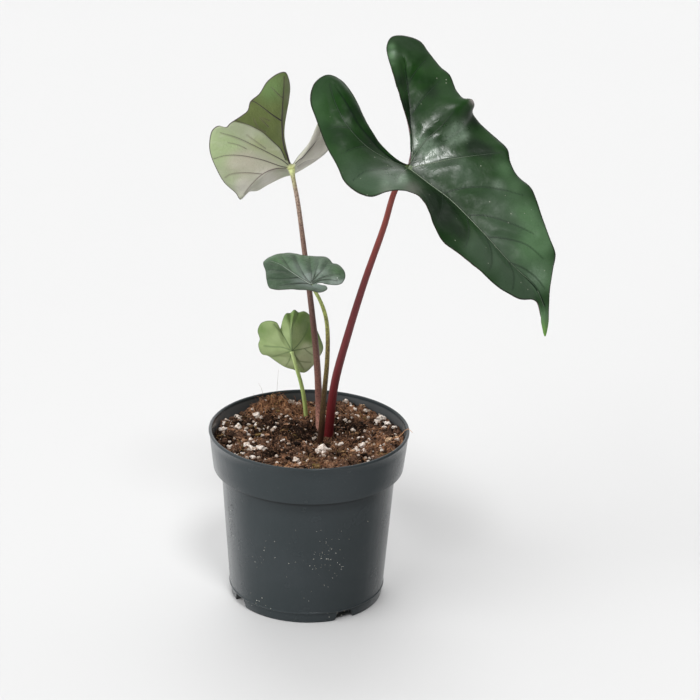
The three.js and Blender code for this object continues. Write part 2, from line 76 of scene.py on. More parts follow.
class Finish:
    """A procedural material, built up from a few kinds of node on its Principled shader."""

    def __init__(self, name, roughness, specular=0.5):
        self.material = bpy.data.materials.new(name)
        self.material.use_nodes = True
        self.tree = self.material.node_tree
        self.shader = self.tree.nodes["Principled BSDF"]
        self.shader.inputs["Roughness"].default_value = roughness
        self.shader.inputs["Specular IOR Level"].default_value = specular
        self.place = self.node("ShaderNodeTexCoord").outputs["Object"]

    def node(self, kind, **settings):
        made = self.tree.nodes.new(kind)
        for name, value in settings.items():
            setattr(made, name, value)
        return made

    def link(self, source, target):
        """Joins an output to an input. A name stands for what was measured at each vertex of the piece."""
        if isinstance(source, str):
            source = self.node("ShaderNodeAttribute", attribute_name=source).outputs["Fac"]
        self.tree.links.new(source, target)

    def mottle(self, scale, detail=3, rough=0.5, at=None, warp=0):
        """Noise whose spots are about 1/scale metres across."""
        made = self.node("ShaderNodeTexNoise")
        made.inputs["Scale"].default_value = scale
        made.inputs["Detail"].default_value = detail
        made.inputs["Roughness"].default_value = rough
        made.inputs["Distortion"].default_value = warp
        self.link(at or self.place, made.inputs["Vector"])
        return made.outputs["Fac"]

    def streaks(self, scale, detail=3, rough=0.5):
        """Noise with its own scale along each of X, Y and Z."""
        mapping = self.node("ShaderNodeMapping", vector_type="POINT")
        mapping.inputs["Scale"].default_value = scale
        self.link(self.place, mapping.inputs["Vector"])
        return self.mottle(1, detail, rough, mapping.outputs["Vector"])

    def cells(self, scale, feature="F1"):
        """Distances in a pattern of cells about 1/scale metres across."""
        made = self.node("ShaderNodeTexVoronoi", feature=feature)
        made.inputs["Scale"].default_value = scale
        self.link(self.place, made.inputs["Vector"])
        return made.outputs["Distance"]

    def along(self, letter):
        """How far along X, Y or Z the spot lies, in metres."""
        split = self.node("ShaderNodeSeparateXYZ")
        self.link(self.place, split.inputs["Vector"])
        return split.outputs[letter]

    def fade(self, value, start, end, low=0.0, high=1.0):
        """Runs smoothly from low to high as value goes from start to end."""
        made = self.node("ShaderNodeMapRange", interpolation_type="SMOOTHSTEP")
        made.inputs["From Min"].default_value = start
        made.inputs["From Max"].default_value = end
        made.inputs["To Min"].default_value = low
        made.inputs["To Max"].default_value = high
        self.link(value, made.inputs["Value"])
        return made.outputs["Result"]

    def product(self, one, two):
        made = self.node("ShaderNodeMath", operation="MULTIPLY")
        self.link(one, made.inputs[0])
        self.link(two, made.inputs[1])
        return made.outputs["Value"]

    def blended(self, amount, under, over):
        """The colour or output under, with over laid on it by amount."""
        made = self.node("ShaderNodeMix", data_type="RGBA")
        self.link(amount, made.inputs["Factor"])
        for socket, value in ((made.inputs[6], under), (made.inputs[7], over)):
            if isinstance(value, tuple):
                socket.default_value = (*value, 1)
            else:
                self.link(value, socket)
        return made.outputs[2]

    def laid(self, under, over, value, start, end, low=0.0, high=1.0):
        """The colour under, with over laid on it as value goes from start to end."""
        return self.blended(self.fade(value, start, end, low, high), under, over)

    def patchy(self, scale, one, other):
        """Two colours in soft patches about 1/scale metres across."""
        return self.laid(one, other, self.mottle(scale), 0.35, 0.65)

    def colour(self, value):
        self.link(value, self.shader.inputs["Base Color"])

    def roughened(self, value):
        self.link(value, self.shader.inputs["Roughness"])

    def unevenly_rough(self, scale, low, high):
        self.roughened(self.fade(self.mottle(scale, 4), 0.3, 0.7, low, high))

    def glossed(self, value):
        self.link(value, self.shader.inputs["Specular IOR Level"])

    def slant(self):
        """How far the surface turns away from the onlooker, from 0 to 1."""
        return self.node("ShaderNodeLayerWeight").outputs["Facing"]

    def relief(self, *layers):
        """Bump from (value, depth in metres) layers, one on another."""
        normal = None
        for value, depth in layers:
            bump = self.node("ShaderNodeBump")
            bump.inputs["Distance"].default_value = depth
            self.link(value, bump.inputs["Height"])
            if normal:
                self.link(normal, bump.inputs["Normal"])
            normal = bump.outputs["Normal"]
        self.link(normal, self.shader.inputs["Normal"])


def object_from(bm, name):
    """Puts the finished mesh into the scene, as an object of this name."""
    mesh = bpy.data.meshes.new(name)
    bm.to_mesh(mesh)
    bm.free()
    made = bpy.data.objects.new(name, mesh)
    bpy.context.scene.collection.objects.link(made)
    return made


def settle(bm, name, finishes, node, smooth_angle=180):
    """Makes the finished piece, which rides on the plant and takes the place of its plain solid."""
    piece = object_from(bm, name)
    for finish in finishes:
        piece.data.materials.append(finish.material)
    piece.data.shade_smooth()
    piece.data.set_sharp_from_angle(angle=math.radians(smooth_angle))
    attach(piece, "root")
    if node:
        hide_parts(node)
    return piece


def pot_body_radius(z):
    return body_foot_radius + (body_top_radius - body_foot_radius) * z / band_foot


def pot_outline():
    """The pot's section as (radius, height), from the middle of its underside round to that of its floor."""
    foot_radius = body_foot_radius - foot_inset
    foot_inside = foot_radius - foot_width
    step_radius = pot_body_radius(foot_height)
    floor_top = pot_floor + floor_thickness
    floor_radius = pot_body_radius(floor_top) - pot_wall
    inner_shelf = band_foot + pot_wall
    outline = [
        (0, pot_floor),
        (foot_inside - 1 * MM, pot_floor),
        (foot_inside - 0.4 * MM, pot_floor - 0.4 * MM),
        (foot_inside, 0.3 * MM),
        (foot_inside + 0.3 * MM, 0),
        (foot_radius - 0.8 * MM, 0),
        (foot_radius - 0.25 * MM, 0.25 * MM),
        (foot_radius, 0.8 * MM),
        (step_radius - foot_inset, foot_height - 0.1 * MM),
        (step_radius + 0.2 * MM, foot_height + 0.05 * MM),
        (step_radius + 0.4 * MM, foot_height + 0.35 * MM),
        (step_radius + 0.3 * MM, foot_height + 0.65 * MM),
        (step_radius, foot_height + 1 * MM),
    ]
    for part in (0.2, 0.4, 0.6, 0.8, 0.97):
        z = part * band_foot
        outline.append((pot_body_radius(z), z))
    outline += [
        (body_top_radius, band_foot - 0.5 * MM),
        (body_top_radius + 0.3 * MM, band_foot - 0.1 * MM),
        (body_top_radius + 1 * MM, band_foot),
        (band_foot_radius - 0.5 * MM, band_foot),
        (band_foot_radius - 0.12 * MM, band_foot + 0.15 * MM),
        (band_foot_radius, band_foot + 0.5 * MM),
    ]
    for part in (0.3, 0.6, 0.85):
        z = part * (band_height - 3 * MM)
        outline.append((band_foot_radius + part * (rim_radius - band_foot_radius - 0.6 * MM), band_foot + z))
    lip_middle = (rim_radius - lip_roll, pot_height - lip_roll)
    outline.append((rim_radius - 0.75 * MM, pot_height - 2.6 * MM))
    for turn in range(-30, 211, 30):
        angle = math.radians(turn)
        x, z = lip_roll * math.cos(angle), lip_roll * math.sin(angle)
        outline.append((lip_middle[0] + x, lip_middle[1] + z))
    outline += [
        (rim_radius - 2.35 * MM, pot_height - 2.3 * MM),
        (band_foot_radius - pot_wall, inner_shelf + 0.6 * MM),
        (body_top_radius - pot_wall + 0.2 * MM, inner_shelf),
        (body_top_radius - pot_wall, inner_shelf - 0.5 * MM),
        (floor_radius, floor_top + 0.8 * MM),
        (floor_radius - 0.8 * MM, floor_top),
        (0, floor_top),
    ]
    return outline


def turned_body(outline, steps):
    """A solid of revolution round the pot's axis."""
    bm = bmesh.new()
    chain = [bm.verts.new(axis + Vector((radius, 0, z))) for radius, z in outline]
    edges = [bm.edges.new(pair) for pair in zip(chain, chain[1:])]
    bmesh.ops.spin(
        bm, geom=chain + edges, cent=axis, axis=(0, 0, 1), angle=2 * math.pi, steps=steps, use_merge=True
    )
    bmesh.ops.remove_doubles(bm, verts=bm.verts, dist=1e-6)
    bmesh.ops.recalc_face_normals(bm, faces=bm.faces)
    return bm


def pot_cutters():
    """The shapes of the four notches and drain holes."""
    bm = bmesh.new()
    for angle in notch_angles:
        turn = Matrix.Translation(axis) @ Matrix.Rotation(math.radians(angle), 4, "Z")
        notch = bmesh.ops.create_cube(bm, size=1)["verts"]
        for vert in notch:
            width = notch_widths[0] if vert.co.z > 0 else notch_widths[1]
            height = notch_height if vert.co.z > 0 else -1 * MM
            reach = body_foot_radius + (vert.co.y * 12 - 4) * MM
            vert.co = turn @ Vector((vert.co.x * width, reach, height))
        drain = Matrix.Translation((0, drain_distance, pot_floor))
        bmesh.ops.create_cone(
            bm, cap_ends=True, segments=32, radius1=drain_radius, radius2=drain_radius,
            depth=4 * floor_thickness, matrix=turn @ drain,
        )
    bmesh.ops.recalc_face_normals(bm, faces=bm.faces)
    return bm


def cut_away(piece, cutters):
    """Cuts the closed shapes in one mesh out of the piece."""
    tool = object_from(cutters, "cutters")
    cut = piece.modifiers.new("cut", "BOOLEAN")
    cut.operation = "DIFFERENCE"
    cut.solver = "EXACT"
    cut.object = tool
    done = bpy.data.meshes.new_from_object(piece.evaluated_get(bpy.context.evaluated_depsgraph_get()))
    piece.modifiers.clear()
    piece.data = done
    bpy.data.objects.remove(tool)


pot_plastic = Finish("slate_pot_plastic", 0.3, 0.5)
cloud = pot_plastic.mottle(22, 3)
slate = pot_plastic.laid((0.032, 0.04, 0.043), (0.038, 0.046, 0.05), cloud, 0.3, 0.7)
scuffs = pot_plastic.streaks((160, 160, 1400), 5, 0.7)
slate = pot_plastic.laid(slate, (0.06, 0.067, 0.07), scuffs, 0.62, 0.8, 0, 0.3)
film = pot_plastic.mottle(1100, 2, 0.6)
slate = pot_plastic.laid(slate, (0.16, 0.16, 0.15), film, 0.7, 0.77, 0, 0.4)
# Painted shadow: a dark band on the body just under the rim band's ledge, where the ledge shades it.
ledge_painted_shadow = pot_plastic.product(
    pot_plastic.fade(pot_plastic.along("Z"), band_foot - 4.2 * MM, band_foot - 1.9 * MM, 0, 0.75),
    pot_plastic.fade(pot_plastic.along("Z"), band_foot + 0.1 * MM, band_foot + 0.5 * MM, 1, 0),
)
slate = pot_plastic.blended(ledge_painted_shadow, slate, (0.012, 0.013, 0.014))
# Painted light: the inner wall is painted a lighter slate for the light it catches and reflects; it is the
# same plastic as outside.
pot_plastic.colour(pot_plastic.blended("inside", slate, (0.075, 0.08, 0.083)))
pot_plastic.unevenly_rough(60, 0.2, 0.28)
ripples = pot_plastic.streaks((70, 70, 12))
pot_plastic.relief((pot_plastic.mottle(1500, 2), 0.00001), (ripples, 0.0003))
rubbed = pot_plastic.fade(pot_plastic.along("X"), axis.x + 12 * MM, axis.x + 46 * MM, 1, 0.4)
pot_plastic.glossed(pot_plastic.product(rubbed, pot_plastic.fade(pot_plastic.slant(), 0.35, 0.8, 0.2, 1)))

pot = settle(turned_body(pot_outline(), 160), "nursery_pot", [pot_plastic], "pot")
cut_away(pot, pot_cutters())
# Marks the inner wall, which takes the painted light.
inner_wall_painted_light = pot.data.attributes.new("inside", "FLOAT", "POINT").data
for vert in pot.data.vertices:
    faces_in = vert.normal.xy.dot((vert.co - axis).xy) < 0
    inner_wall_painted_light[vert.index].value = 1 if faces_in and vert.co.z < pot_height - 2 * MM else 0
pot.data.shade_smooth()
pot.data.set_sharp_from_angle(angle=math.radians(40))


# The dust on the pot: specks of perlite and soil that clung to the outside when it was filled.
# They lie thickest halfway up, on the left and in front, with a few on the band and by the foot.
speck_clusters = [
    {"angle": -64, "height": 52, "spread": (4, 9), "count": 56, "sizes": (0.16, 0.36), "tones": (0, 0.15)},
    {"angle": -62, "height": 50, "spread": (4, 9), "count": 12, "sizes": (0.14, 0.3), "tones": (0.7, 1)},
    {"angle": 13, "height": 43, "spread": (9, 13), "count": 50, "sizes": (0.13, 0.26), "tones": (0.5, 0.95)},
    {"angle": 16, "height": 43, "spread": (5, 6), "count": 10, "sizes": (0.22, 0.33), "tones": (0.8, 1)},
    {"angle": -26, "height": 42, "spread": (8, 7), "count": 12, "sizes": (0.14, 0.28), "tones": (0.5, 0.9)},
    {"angle": -36, "height": 9, "spread": (5, 3), "count": 8, "sizes": (0.16, 0.34), "tones": (0.6, 1)},
    {"angle": 20, "height": 5, "spread": (10, 1.6), "count": 6, "sizes": (0.18, 0.34), "tones": (0.6, 1)},
    {"angle": -82, "height": 96, "spread": (4, 4), "count": 9, "sizes": (0.12, 0.24), "tones": (0, 0.6)},
    {"angle": 140, "height": 38, "spread": (40, 20), "count": 30, "sizes": (0.12, 0.34), "tones": (0.2, 1)},
]
band_slope = 0.105


class Lot:
    """Many pieces of one kind, made a tray at a time, since a full mesh is slow to add to."""

    def __init__(self, tray_size, *measures):
        self.tray_size = tray_size
        self.measures = measures
        self.count = 0
        self.whole = self.empty()
        self.tray = self.empty()

    def empty(self):
        bm = bmesh.new()
        for name in self.measures:
            bm.verts.layers.float.new(name)
        return bm

    def shade(self, verts, tone):
        """Keeps a shade from 0 to 1 with part of a piece, which its material reads."""
        layer = self.tray.verts.layers.float["tone"]
        for vert in verts:
            vert[layer] = tone

    def next_piece(self):
        self.count += 1
        if self.count % self.tray_size == 0:
            self.pour()

    def pour(self):
        mesh = bpy.data.meshes.new("tray")
        self.tray.to_mesh(mesh)
        self.tray.free()
        self.whole.from_mesh(mesh)
        bpy.data.meshes.remove(mesh)
        self.tray = self.empty()

    def gathered(self):
        self.pour()
        self.tray.free()
        bmesh.ops.recalc_face_normals(self.whole, faces=self.whole.faces)
        return self.whole


def scattered_specks(clusters, draw):
    lot = Lot(50, "tone")
    for cluster in clusters:
        for _ in range(cluster["count"]):
            angle = math.radians(cluster["angle"] + draw.gauss(0, cluster["spread"][0]))
            z = max(1.2, cluster["height"] + draw.gauss(0, cluster["spread"][1])) * MM
            radius = pot_body_radius(z) - (foot_inset if z < foot_height else 0)
            if z > band_foot:
                radius = band_foot_radius + band_slope * (z - pot_height + band_height)
            outward = Vector((math.sin(angle), -math.cos(angle), 0))
            spot = Matrix.Translation(axis + outward * radius + Vector((0, 0, z)))
            turn = outward.to_track_quat("Z", "Y").to_matrix().to_4x4()
            size = draw.uniform(*cluster["sizes"]) * MM
            shape = Matrix.Diagonal((size, size * draw.uniform(0.6, 1), size * 0.45, 1))
            made = bmesh.ops.create_icosphere(lot.tray, subdivisions=1, radius=1, matrix=spot @ turn @ shape)
            lot.shade(made["verts"], draw.uniform(*cluster["tones"]))
            lot.next_piece()
    return lot.gathered()


dust = Finish("pale_dust", 0.9, 0.3)
grit = dust.laid((0.012, 0.01, 0.009), (0.42, 0.4, 0.33), "tone", 0.2, 0.6)
grit = dust.laid(grit, (0.85, 0.84, 0.76), "tone", 0.7, 0.9)
dust.colour(dust.laid(grit, (0.2, 0.17, 0.13), dust.mottle(1500), 0.5, 0.7, 0, 0.3))
dust.relief((dust.mottle(3000), 0.0001))
settle(scattered_specks(speck_clusters, random.Random(5)), "pot_dust", [dust], None)


# The soil: damp, dark potting mix of peat, coir and bark, packed into the pot by hand.
# It is nearly level with the rim in front, lower behind, and heaped up at the back left.
# Its lumps are painted lighter on their tops and darker in their hollows, as shade, and warm brown where coir
# gathers.
soil_middle = 101.6
soil_fall = 1.8
soil_radius = 56.6
soil_foot_radius = 45
loose_reach = 56
mounds = [(-25, 49, 5.2, 13), (24, 47, 3, 17)]
hollow_place = Vector((7, 0))
hollow_depth = 3.6
hollow_spread = 11
soil_rings = 112
soil_steps = 340
coir_patches = [
    (40, -14, 11), (50, -2, 9), (-12, -45, 13), (12, -44, 9), (-22, 42, 15), (2, 40, 10), (30, 40, 12),
]
dark_patches = [
    (-22, 12, 13), (-5, 6, 12), (22, 14, 12), (-50, -5, 8), (8, -6, 8), (-20, -30, 7), (30, -8, 5),
]
stalk_feet = [Vector((11.8, 7.9)), Vector((6, 16.6)), Vector((7, -0.2)), Vector((-2.6, 31.4))]
stalk_berth = 3.6


def soil_height(x, y):
    """The height of the soil in millimetres, at a place in millimetres from the pot's axis."""
    mound = sum(top * math.exp(-((x - a) ** 2 + (y - b) ** 2) / spread ** 2) for a, b, top, spread in mounds)
    away = (Vector((x, y)) - hollow_place).length / hollow_spread
    hollow = hollow_depth * math.exp(-away * away)
    clods = 0.8 * math.sin(0.31 * x + 1.3) * math.sin(0.27 * y + 0.4)
    return soil_middle - soil_fall * y / soil_radius + mound - hollow + clods


def crumble(x, y):
    """Unevenness in millimetres: clods with gaps between them, crumbs and fines."""
    spot = Vector((x, y, 0))
    clods = noise.noise(spot * 0.13 + Vector((3, 5, 2)))
    gaps = abs(noise.noise(spot * 0.24 + Vector((7, 3, 1))))
    crumbs = noise.noise(spot * 0.55 + Vector((2, 8, 5)))
    fines = noise.noise(spot * 1.3 + Vector((1, 9, 4)))
    return 1.9 * clods + 5 * min(gaps, 0.3) + 1.5 * crumbs + 0.9 * fines - 1.5


def within(patches, x, y):
    """How deep a place lies in the nearest of some soft round patches, from 0 to 1."""
    return max(math.exp(-((x - a) ** 2 + (y - b) ** 2) / reach ** 2) for a, b, reach in patches)


def warmth(x, y):
    """How much coir is in the mix here, from 0 to 1."""
    return min(1, max(0, within(coir_patches, x, y) + 0.7 * noise.noise(Vector((x, y, 9)) * 0.11)))


def darkening(x, y):
    """How much darker the mix is here, in broad soft patches, from 0 to 1."""
    return min(1, max(0, within(dark_patches, x, y) + 0.6 * noise.noise(Vector((x, y, 4)) * 0.15)))


def on_soil(x, y, lift=0.0):
    return axis + Vector((x, y, soil_height(x, y) + crumble(x, y) + lift)) * MM


def soil_outline():
    wall_foot = pot_floor + floor_thickness + 0.3 * MM
    shelf = band_foot + pot_wall
    outline = [
        (0, wall_foot),
        (soil_foot_radius * MM, wall_foot),
        (body_top_radius - pot_wall - 0.4 * MM, shelf - 1 * MM),
        (band_foot_radius - pot_wall - 0.4 * MM, shelf + 1.2 * MM),
        (soil_radius * MM, (soil_middle - 6) * MM),
    ]
    for ring in range(soil_rings + 1):
        outline.append((soil_radius * (1 - ring / soil_rings) * MM, soil_middle * MM))
    return outline


potting_mix = Finish("potting_mix", 0.95, 0.05)
# Painted shade: the peat is darker down in the hollows of its relief and lighter on the tops.
peat = potting_mix.laid((0.006, 0.004, 0.003), (0.27, 0.155, 0.105), "relief", -1.8, 1.4)
warm = potting_mix.product(
    potting_mix.fade("warmth", 0.1, 0.9),
    potting_mix.fade(potting_mix.mottle(300, 4), 0.4, 0.62),
)
peat = potting_mix.blended(warm, peat, (0.4, 0.2, 0.11))
# The mix is darker in broad soft patches.
darkened = potting_mix.fade("damp", 0.05, 0.7, 0, 0.92)
peat = potting_mix.blended(darkened, peat, (0.008, 0.005, 0.004))
specks = potting_mix.fade(potting_mix.mottle(900, 3), 0.42, 0.7)
peat = potting_mix.laid(peat, (0.008, 0.005, 0.004), specks, 0, 1, 0.5, 0)
flecks = potting_mix.fade(potting_mix.mottle(1500, 2), 0.64, 0.7)
potting_mix.colour(potting_mix.blended(flecks, peat, (0.42, 0.27, 0.17)))
potting_mix.relief((potting_mix.mottle(450, 4, 0.6), 0.0012), (potting_mix.mottle(1800, 3), 0.0005))

soil_mesh = turned_body(soil_outline(), soil_steps)
relief_for_painted_shade = soil_mesh.verts.layers.float.new("relief")
warmth_layer = soil_mesh.verts.layers.float.new("warmth")
darkening_layer = soil_mesh.verts.layers.float.new("damp")
for vert in soil_mesh.verts:
    if vert.co.z > (soil_middle - 1) * MM:
        x, y = (vert.co - axis).xy / MM
        vert.co = on_soil(x, y)
        vert[relief_for_painted_shade] = crumble(x, y)
        vert[warmth_layer] = warmth(x, y)
        vert[darkening_layer] = darkening(x, y)
settle(soil_mesh, "potting_soil_bed", [potting_mix], "soil")


# The crumbs: loose bits of peat and bark, and clods held together by fibres, that lie on the soil.
# They are darker in the same broad patches as the mix, lighter and redder where coir gathers, and painted
# lighter on top and darker below, as shade.
crumb_kinds = [
    {"count": 3000, "sizes": (0.25, 0.95), "flatness": (0.4, 1), "bumps": 0.9, "subdivisions": 1},
    {"count": 240, "sizes": (0.9, 2.1), "flatness": (0.4, 0.8), "bumps": 1.1, "subdivisions": 2},
    {"count": 200, "sizes": (0.8, 2.4), "flatness": (0.14, 0.26), "bumps": 0.5, "subdivisions": 1},
]
crumb_reach = 55
crumb_berth = 2.8


def free_place(draw, reach, berth):
    """A random place on the soil, in millimetres, that isn't inside a stalk."""
    while True:
        angle = draw.uniform(0, 2 * math.pi)
        away = reach * math.sqrt(draw.random())
        spot = Vector((away * math.cos(angle), away * math.sin(angle)))
        if all((spot - foot).length > berth for foot in stalk_feet):
            return spot


def rough_lump(bm, middle, size, flatness, bumps, draw, subdivisions):
    """One lump: a small ball, flattened, turned at random and dented all over."""
    turn = Matrix.Rotation(draw.uniform(0, 2 * math.pi), 4, Vector((draw.gauss(0, 1), draw.gauss(0, 1), 1)))
    shape = Matrix.Diagonal((size, size * draw.uniform(0.6, 1), size * flatness, 1))
    made = bmesh.ops.create_icosphere(bm, subdivisions=subdivisions, radius=MM, matrix=shape @ turn)["verts"]
    shift = Vector((draw.uniform(0, 50), draw.uniform(0, 50), 0))
    for vert in made:
        dent = noise.noise(vert.co / (0.8 * size * MM) + shift) * bumps
        vert.co = middle + vert.co * (1 + dent)
    return made


crumb_earth = Finish("crumbs_of_peat_and_bark", 0.92, 0.05)
bark = crumb_earth.laid((0.008, 0.005, 0.004), (0.2, 0.112, 0.074), "tone", 0.05, 0.5)
bark = crumb_earth.laid(bark, (0.42, 0.235, 0.14), "tone", 0.4, 0.8)
bark = crumb_earth.laid(bark, (0.64, 0.44, 0.28), "tone", 0.8, 1.0)
ochre = crumb_earth.fade(crumb_earth.mottle(70, 3), 0.56, 0.64, 0, 0.6)
bark = crumb_earth.blended(ochre, bark, (0.3, 0.2, 0.07))
grime = crumb_earth.fade(crumb_earth.mottle(1500, 3), 0.42, 0.65, 0, 0.8)
crumb_earth.colour(crumb_earth.blended(grime, bark, (0.012, 0.008, 0.006)))
crumb_earth.relief((crumb_earth.mottle(2200, 3), 0.0004))

crumb_draw = random.Random(21)
crumbs = Lot(60, "tone")
for kind in crumb_kinds:
    for _ in range(kind["count"]):
        spot = free_place(crumb_draw, crumb_reach, crumb_berth)
        least, most = kind["sizes"]
        size = least + (most - least) * crumb_draw.random() ** 2
        if spot.length + size > loose_reach:
            continue
        middle = on_soil(spot.x, spot.y, 0.2 * size)
        flatness = crumb_draw.uniform(*kind["flatness"])
        verts = rough_lump(
            crumbs.tray, middle, size, flatness, kind["bumps"], crumb_draw, kind["subdivisions"]
        )
        # A crumb's tone rises where coir gathers, falls in the dark patches, and rises where the soil stands
        # high, which is painted shade.
        shade = 0.22 + 0.4 * warmth(spot.x, spot.y) - 0.4 * darkening(spot.x, spot.y)
        shade += 0.09 * crumble(spot.x, spot.y) + crumb_draw.gauss(0, 0.24)
        # Painted shade: each crumb is lighter on its top and darker underneath.
        for vert in verts:
            height_for_painted_shade = (vert.co.z - middle.z) / (size * MM)
            crumbs.shade([vert], min(1, max(0, shade + 0.25 * height_for_painted_shade)))
        crumbs.next_piece()
settle(crumbs.gathered(), "soil_crumbs", [crumb_earth], None, 25)


# The perlite: white, puffed grains of volcanic glass mixed through the soil to keep it airy.
# The large ones that show are set one by one, in clusters, and small ones lie all over,
# many half buried and stained by the peat.
seen_grains = [
    (-45, 30.4, 1.6), (-43.7, 25.5, 1.6), (-32.4, 30.8, 1.9), (-29.5, 28.2, 1.1), (-12.3, 52, 1.6),
    (-8.7, 50.5, 1.8), (-43.2, 11.1, 1.9), (-51.8, 6.8, 1.7), (-52, 17, 1.2), (-33.7, -21.6, 2.2),
    (-30.8, -23.6, 1.7), (-28.3, -24.2, 1.9), (-25.6, -21, 1.4), (-31.9, -35.2, 1.5), (-36.8, -18.9, 1.4),
    (-46.2, -19.4, 1.5), (-34.3, -7, 1.2), (-6.7, -38.6, 1.6), (-4.4, -40.6, 1.2), (8.8, -22, 2.3),
    (6.4, -23.5, 1.4), (11.4, -20.4, 1.4), (3.5, 4.1, 1), (-1.6, -8, 0.9), (1.4, -6.4, 1), (-3.5, -3.7, 0.9),
    (28.2, -20.8, 1.9), (31.8, -13.4, 1.5), (33, -19.1, 1.3), (26.2, 10, 1.5), (21.6, 49.6, 1.4),
    (23.5, 48.2, 1.2), (28.5, 32.9, 1.2), (27.2, 37.5, 1), (40.7, 24.5, 1.8), (43, 27.8, 1.5),
    (44.9, 30.8, 1.6), (47.3, 22.6, 1.4), (51.3, 16, 1.3), (45.6, 18, 1.2), (38.9, -31.7, 1.2),
    (19.3, -15.6, 1.1), (21.3, 23.3, 1.1), (16.6, 7.9, 0.8), (-15.3, -7.4, 1), (-22.4, 7.1, 1),
    (-30.9, 9.5, 1.1), (-38.3, 1.6, 1.2), (-32.3, 14, 1), (-27.9, -3.7, 1.1), (-38.2, -26.2, 1.4),
    (0.4, -39.6, 0.9), (34, 40, 1.5), (-20, 20, 1), (-14, 30, 0.9), (16, 34, 1), (30, 2, 1),
]
grain_parts = (1.12, 0.66, 0.55)
small_grain_count = 420
small_grain_reach = 54

perlite = Finish("perlite", 0.85, 0.3)
crust = perlite.laid((0.5, 0.42, 0.35), (0.95, 0.86, 0.78), "tone", 0, 1)
stain = perlite.fade(perlite.mottle(520, 4), 0.45, 0.68, 0, 0.85)
crust = perlite.blended(stain, crust, (0.4, 0.27, 0.18))
pits = perlite.fade(perlite.cells(1500), 0.1, 0.45, 0.5, 0)
perlite.colour(perlite.blended(pits, crust, (0.2, 0.15, 0.11)))
perlite.relief((perlite.mottle(1700, 3), 0.0005), (perlite.cells(1500), 0.0004))

grain_draw = random.Random(8)
grains = Lot(20, "tone")
for x, y, size in seen_grains:
    for part in grain_parts:
        shift = 0 if part > 1 else size
        angle = grain_draw.uniform(0, 2 * math.pi)
        spot = Vector((x + shift * math.cos(angle), y + shift * math.sin(angle)))
        spot *= min(1, (loose_reach - 1.3 * part * size) / spot.length)
        middle = on_soil(spot.x, spot.y, 0.35 * part * size)
        flatness = grain_draw.uniform(0.7, 0.95)
        verts = rough_lump(grains.tray, middle, part * size, flatness, 0.9, grain_draw, 3)
        grains.shade(verts, grain_draw.uniform(0.6, 1))
        grains.next_piece()
for _ in range(small_grain_count):
    spot = free_place(grain_draw, small_grain_reach, stalk_berth)
    size = 0.28 + 0.95 * grain_draw.random() ** 3
    lift = grain_draw.uniform(0.1, 0.7) * size
    middle = on_soil(spot.x, spot.y, lift)
    verts = rough_lump(grains.tray, middle, size, grain_draw.uniform(0.65, 1), 0.7, grain_draw, 2)
    grains.shade(verts, grain_draw.random())
    grains.next_piece()
settle(grains.gathered(), "perlite_grains", [perlite], None)


# The fibres: loose hairs of coir that curl over the soil, thickest on the heap at the back left,
# where a few stand up. One bent orange fibre hangs over the rim at the right.
fibre_groups = [
    {"count": 330, "middle": (0, 0), "spread": (30, 30), "length": (4, 12), "rise": 1.6, "tones": (0, 0.8)},
    {"count": 2300, "middle": (0, 0), "spread": (34, 34), "length": (1.5, 5), "rise": 1.1, "tones": (0.1, 1)},
    {"count": 380, "middle": (-26, 44), "spread": (11, 8), "length": (4, 11), "rise": 4, "tones": (0.3, 1)},
    {"count": 180, "middle": (-6, 42), "spread": (16, 5), "length": (3, 8), "rise": 1.6, "tones": (0.5, 1)},
    {"count": 150, "middle": (40, -14), "spread": (10, 12), "length": (3, 9), "rise": 1.6, "tones": (0.3, 1)},
    {"count": 90, "middle": (-4, -44), "spread": (16, 5), "length": (3, 9), "rise": 1.4, "tones": (0.4, 1)},
    {"count": 34, "middle": (-28, 44), "spread": (9, 7), "length": (6, 13), "rise": 6, "tones": (0.7, 1)},
]
fibre_radii = (0.08, 0.2)
fibre_steps = 7
fibre_start_reach = 54
fibre_reach = 55.8
fibre_wander = 0.6
hair_radius = 0.09
rim_fibre_radius = 0.26
standing_hairs = [(-21, 47, 21, 1), (-29, 45, 12, -3), (-18, 49, 10, 5), (-33, 41, 9, -2), (-6, 50, 8, 2)]
rim_fibre = [
    (50, -3, 1), (53, -6, 3), (55.5, -5, 5), (57, -1.5, 5.6), (59, 0.5, 6), (60.5, -1.5, 5.8),
    (61.8, -2.5, 4.8),
]


def next_row(bm, edges):
    """Extrudes a row of edges. Gives the new row's points and its edges."""
    grown = bmesh.ops.extrude_edge_only(bm, edges=edges)["geom"]
    verts = [item for item in grown if isinstance(item, bmesh.types.BMVert)]
    new = set(verts)
    return verts, [item for item in grown if isinstance(item, bmesh.types.BMEdge) and set(item.verts) <= new]


def strand(bm, points, radius, sides=4, tip=0.4):
    """A thin round strand along the points, tapering towards its end and closed at both."""
    facing = (points[1] - points[0]).to_track_quat("Z", "Y").to_matrix().to_4x4()
    foot = Matrix.Translation(points[0]) @ facing
    ring = bmesh.ops.create_circle(bm, cap_ends=True, segments=sides, radius=radius, matrix=foot)["verts"]
    edges = list({edge for vert in ring for edge in vert.link_edges})
    made = list(ring)
    steps = len(points) - 1
    for i in range(1, steps + 1):
        ring, edges = next_row(bm, edges)
        ahead = points[min(i + 1, steps)] - points[i - 1]
        behind = points[i] - points[max(i - 2, 0)]
        turn = behind.rotation_difference(ahead).to_matrix()
        slimmer = (1 - (1 - tip) * i / steps) / (1 - (1 - tip) * (i - 1) / steps)
        for vert in ring:
            vert.co = points[i] + turn @ (vert.co - points[i - 1]) * slimmer
        made += ring
    bmesh.ops.edgeloop_fill(bm, edges=edges)
    return made


coir = Finish("coir_fibre", 0.8, 0.1)
husk = coir.laid((0.02, 0.011, 0.008), (0.28, 0.14, 0.08), "tone", 0, 0.6)
husk = coir.laid(husk, (0.66, 0.34, 0.17), "tone", 0.6, 1)
coir.colour(coir.laid(husk, (0.04, 0.02, 0.012), coir.mottle(900), 0.5, 0.7, 0, 0.4))
coir.relief((coir.mottle(2500), 0.0001))

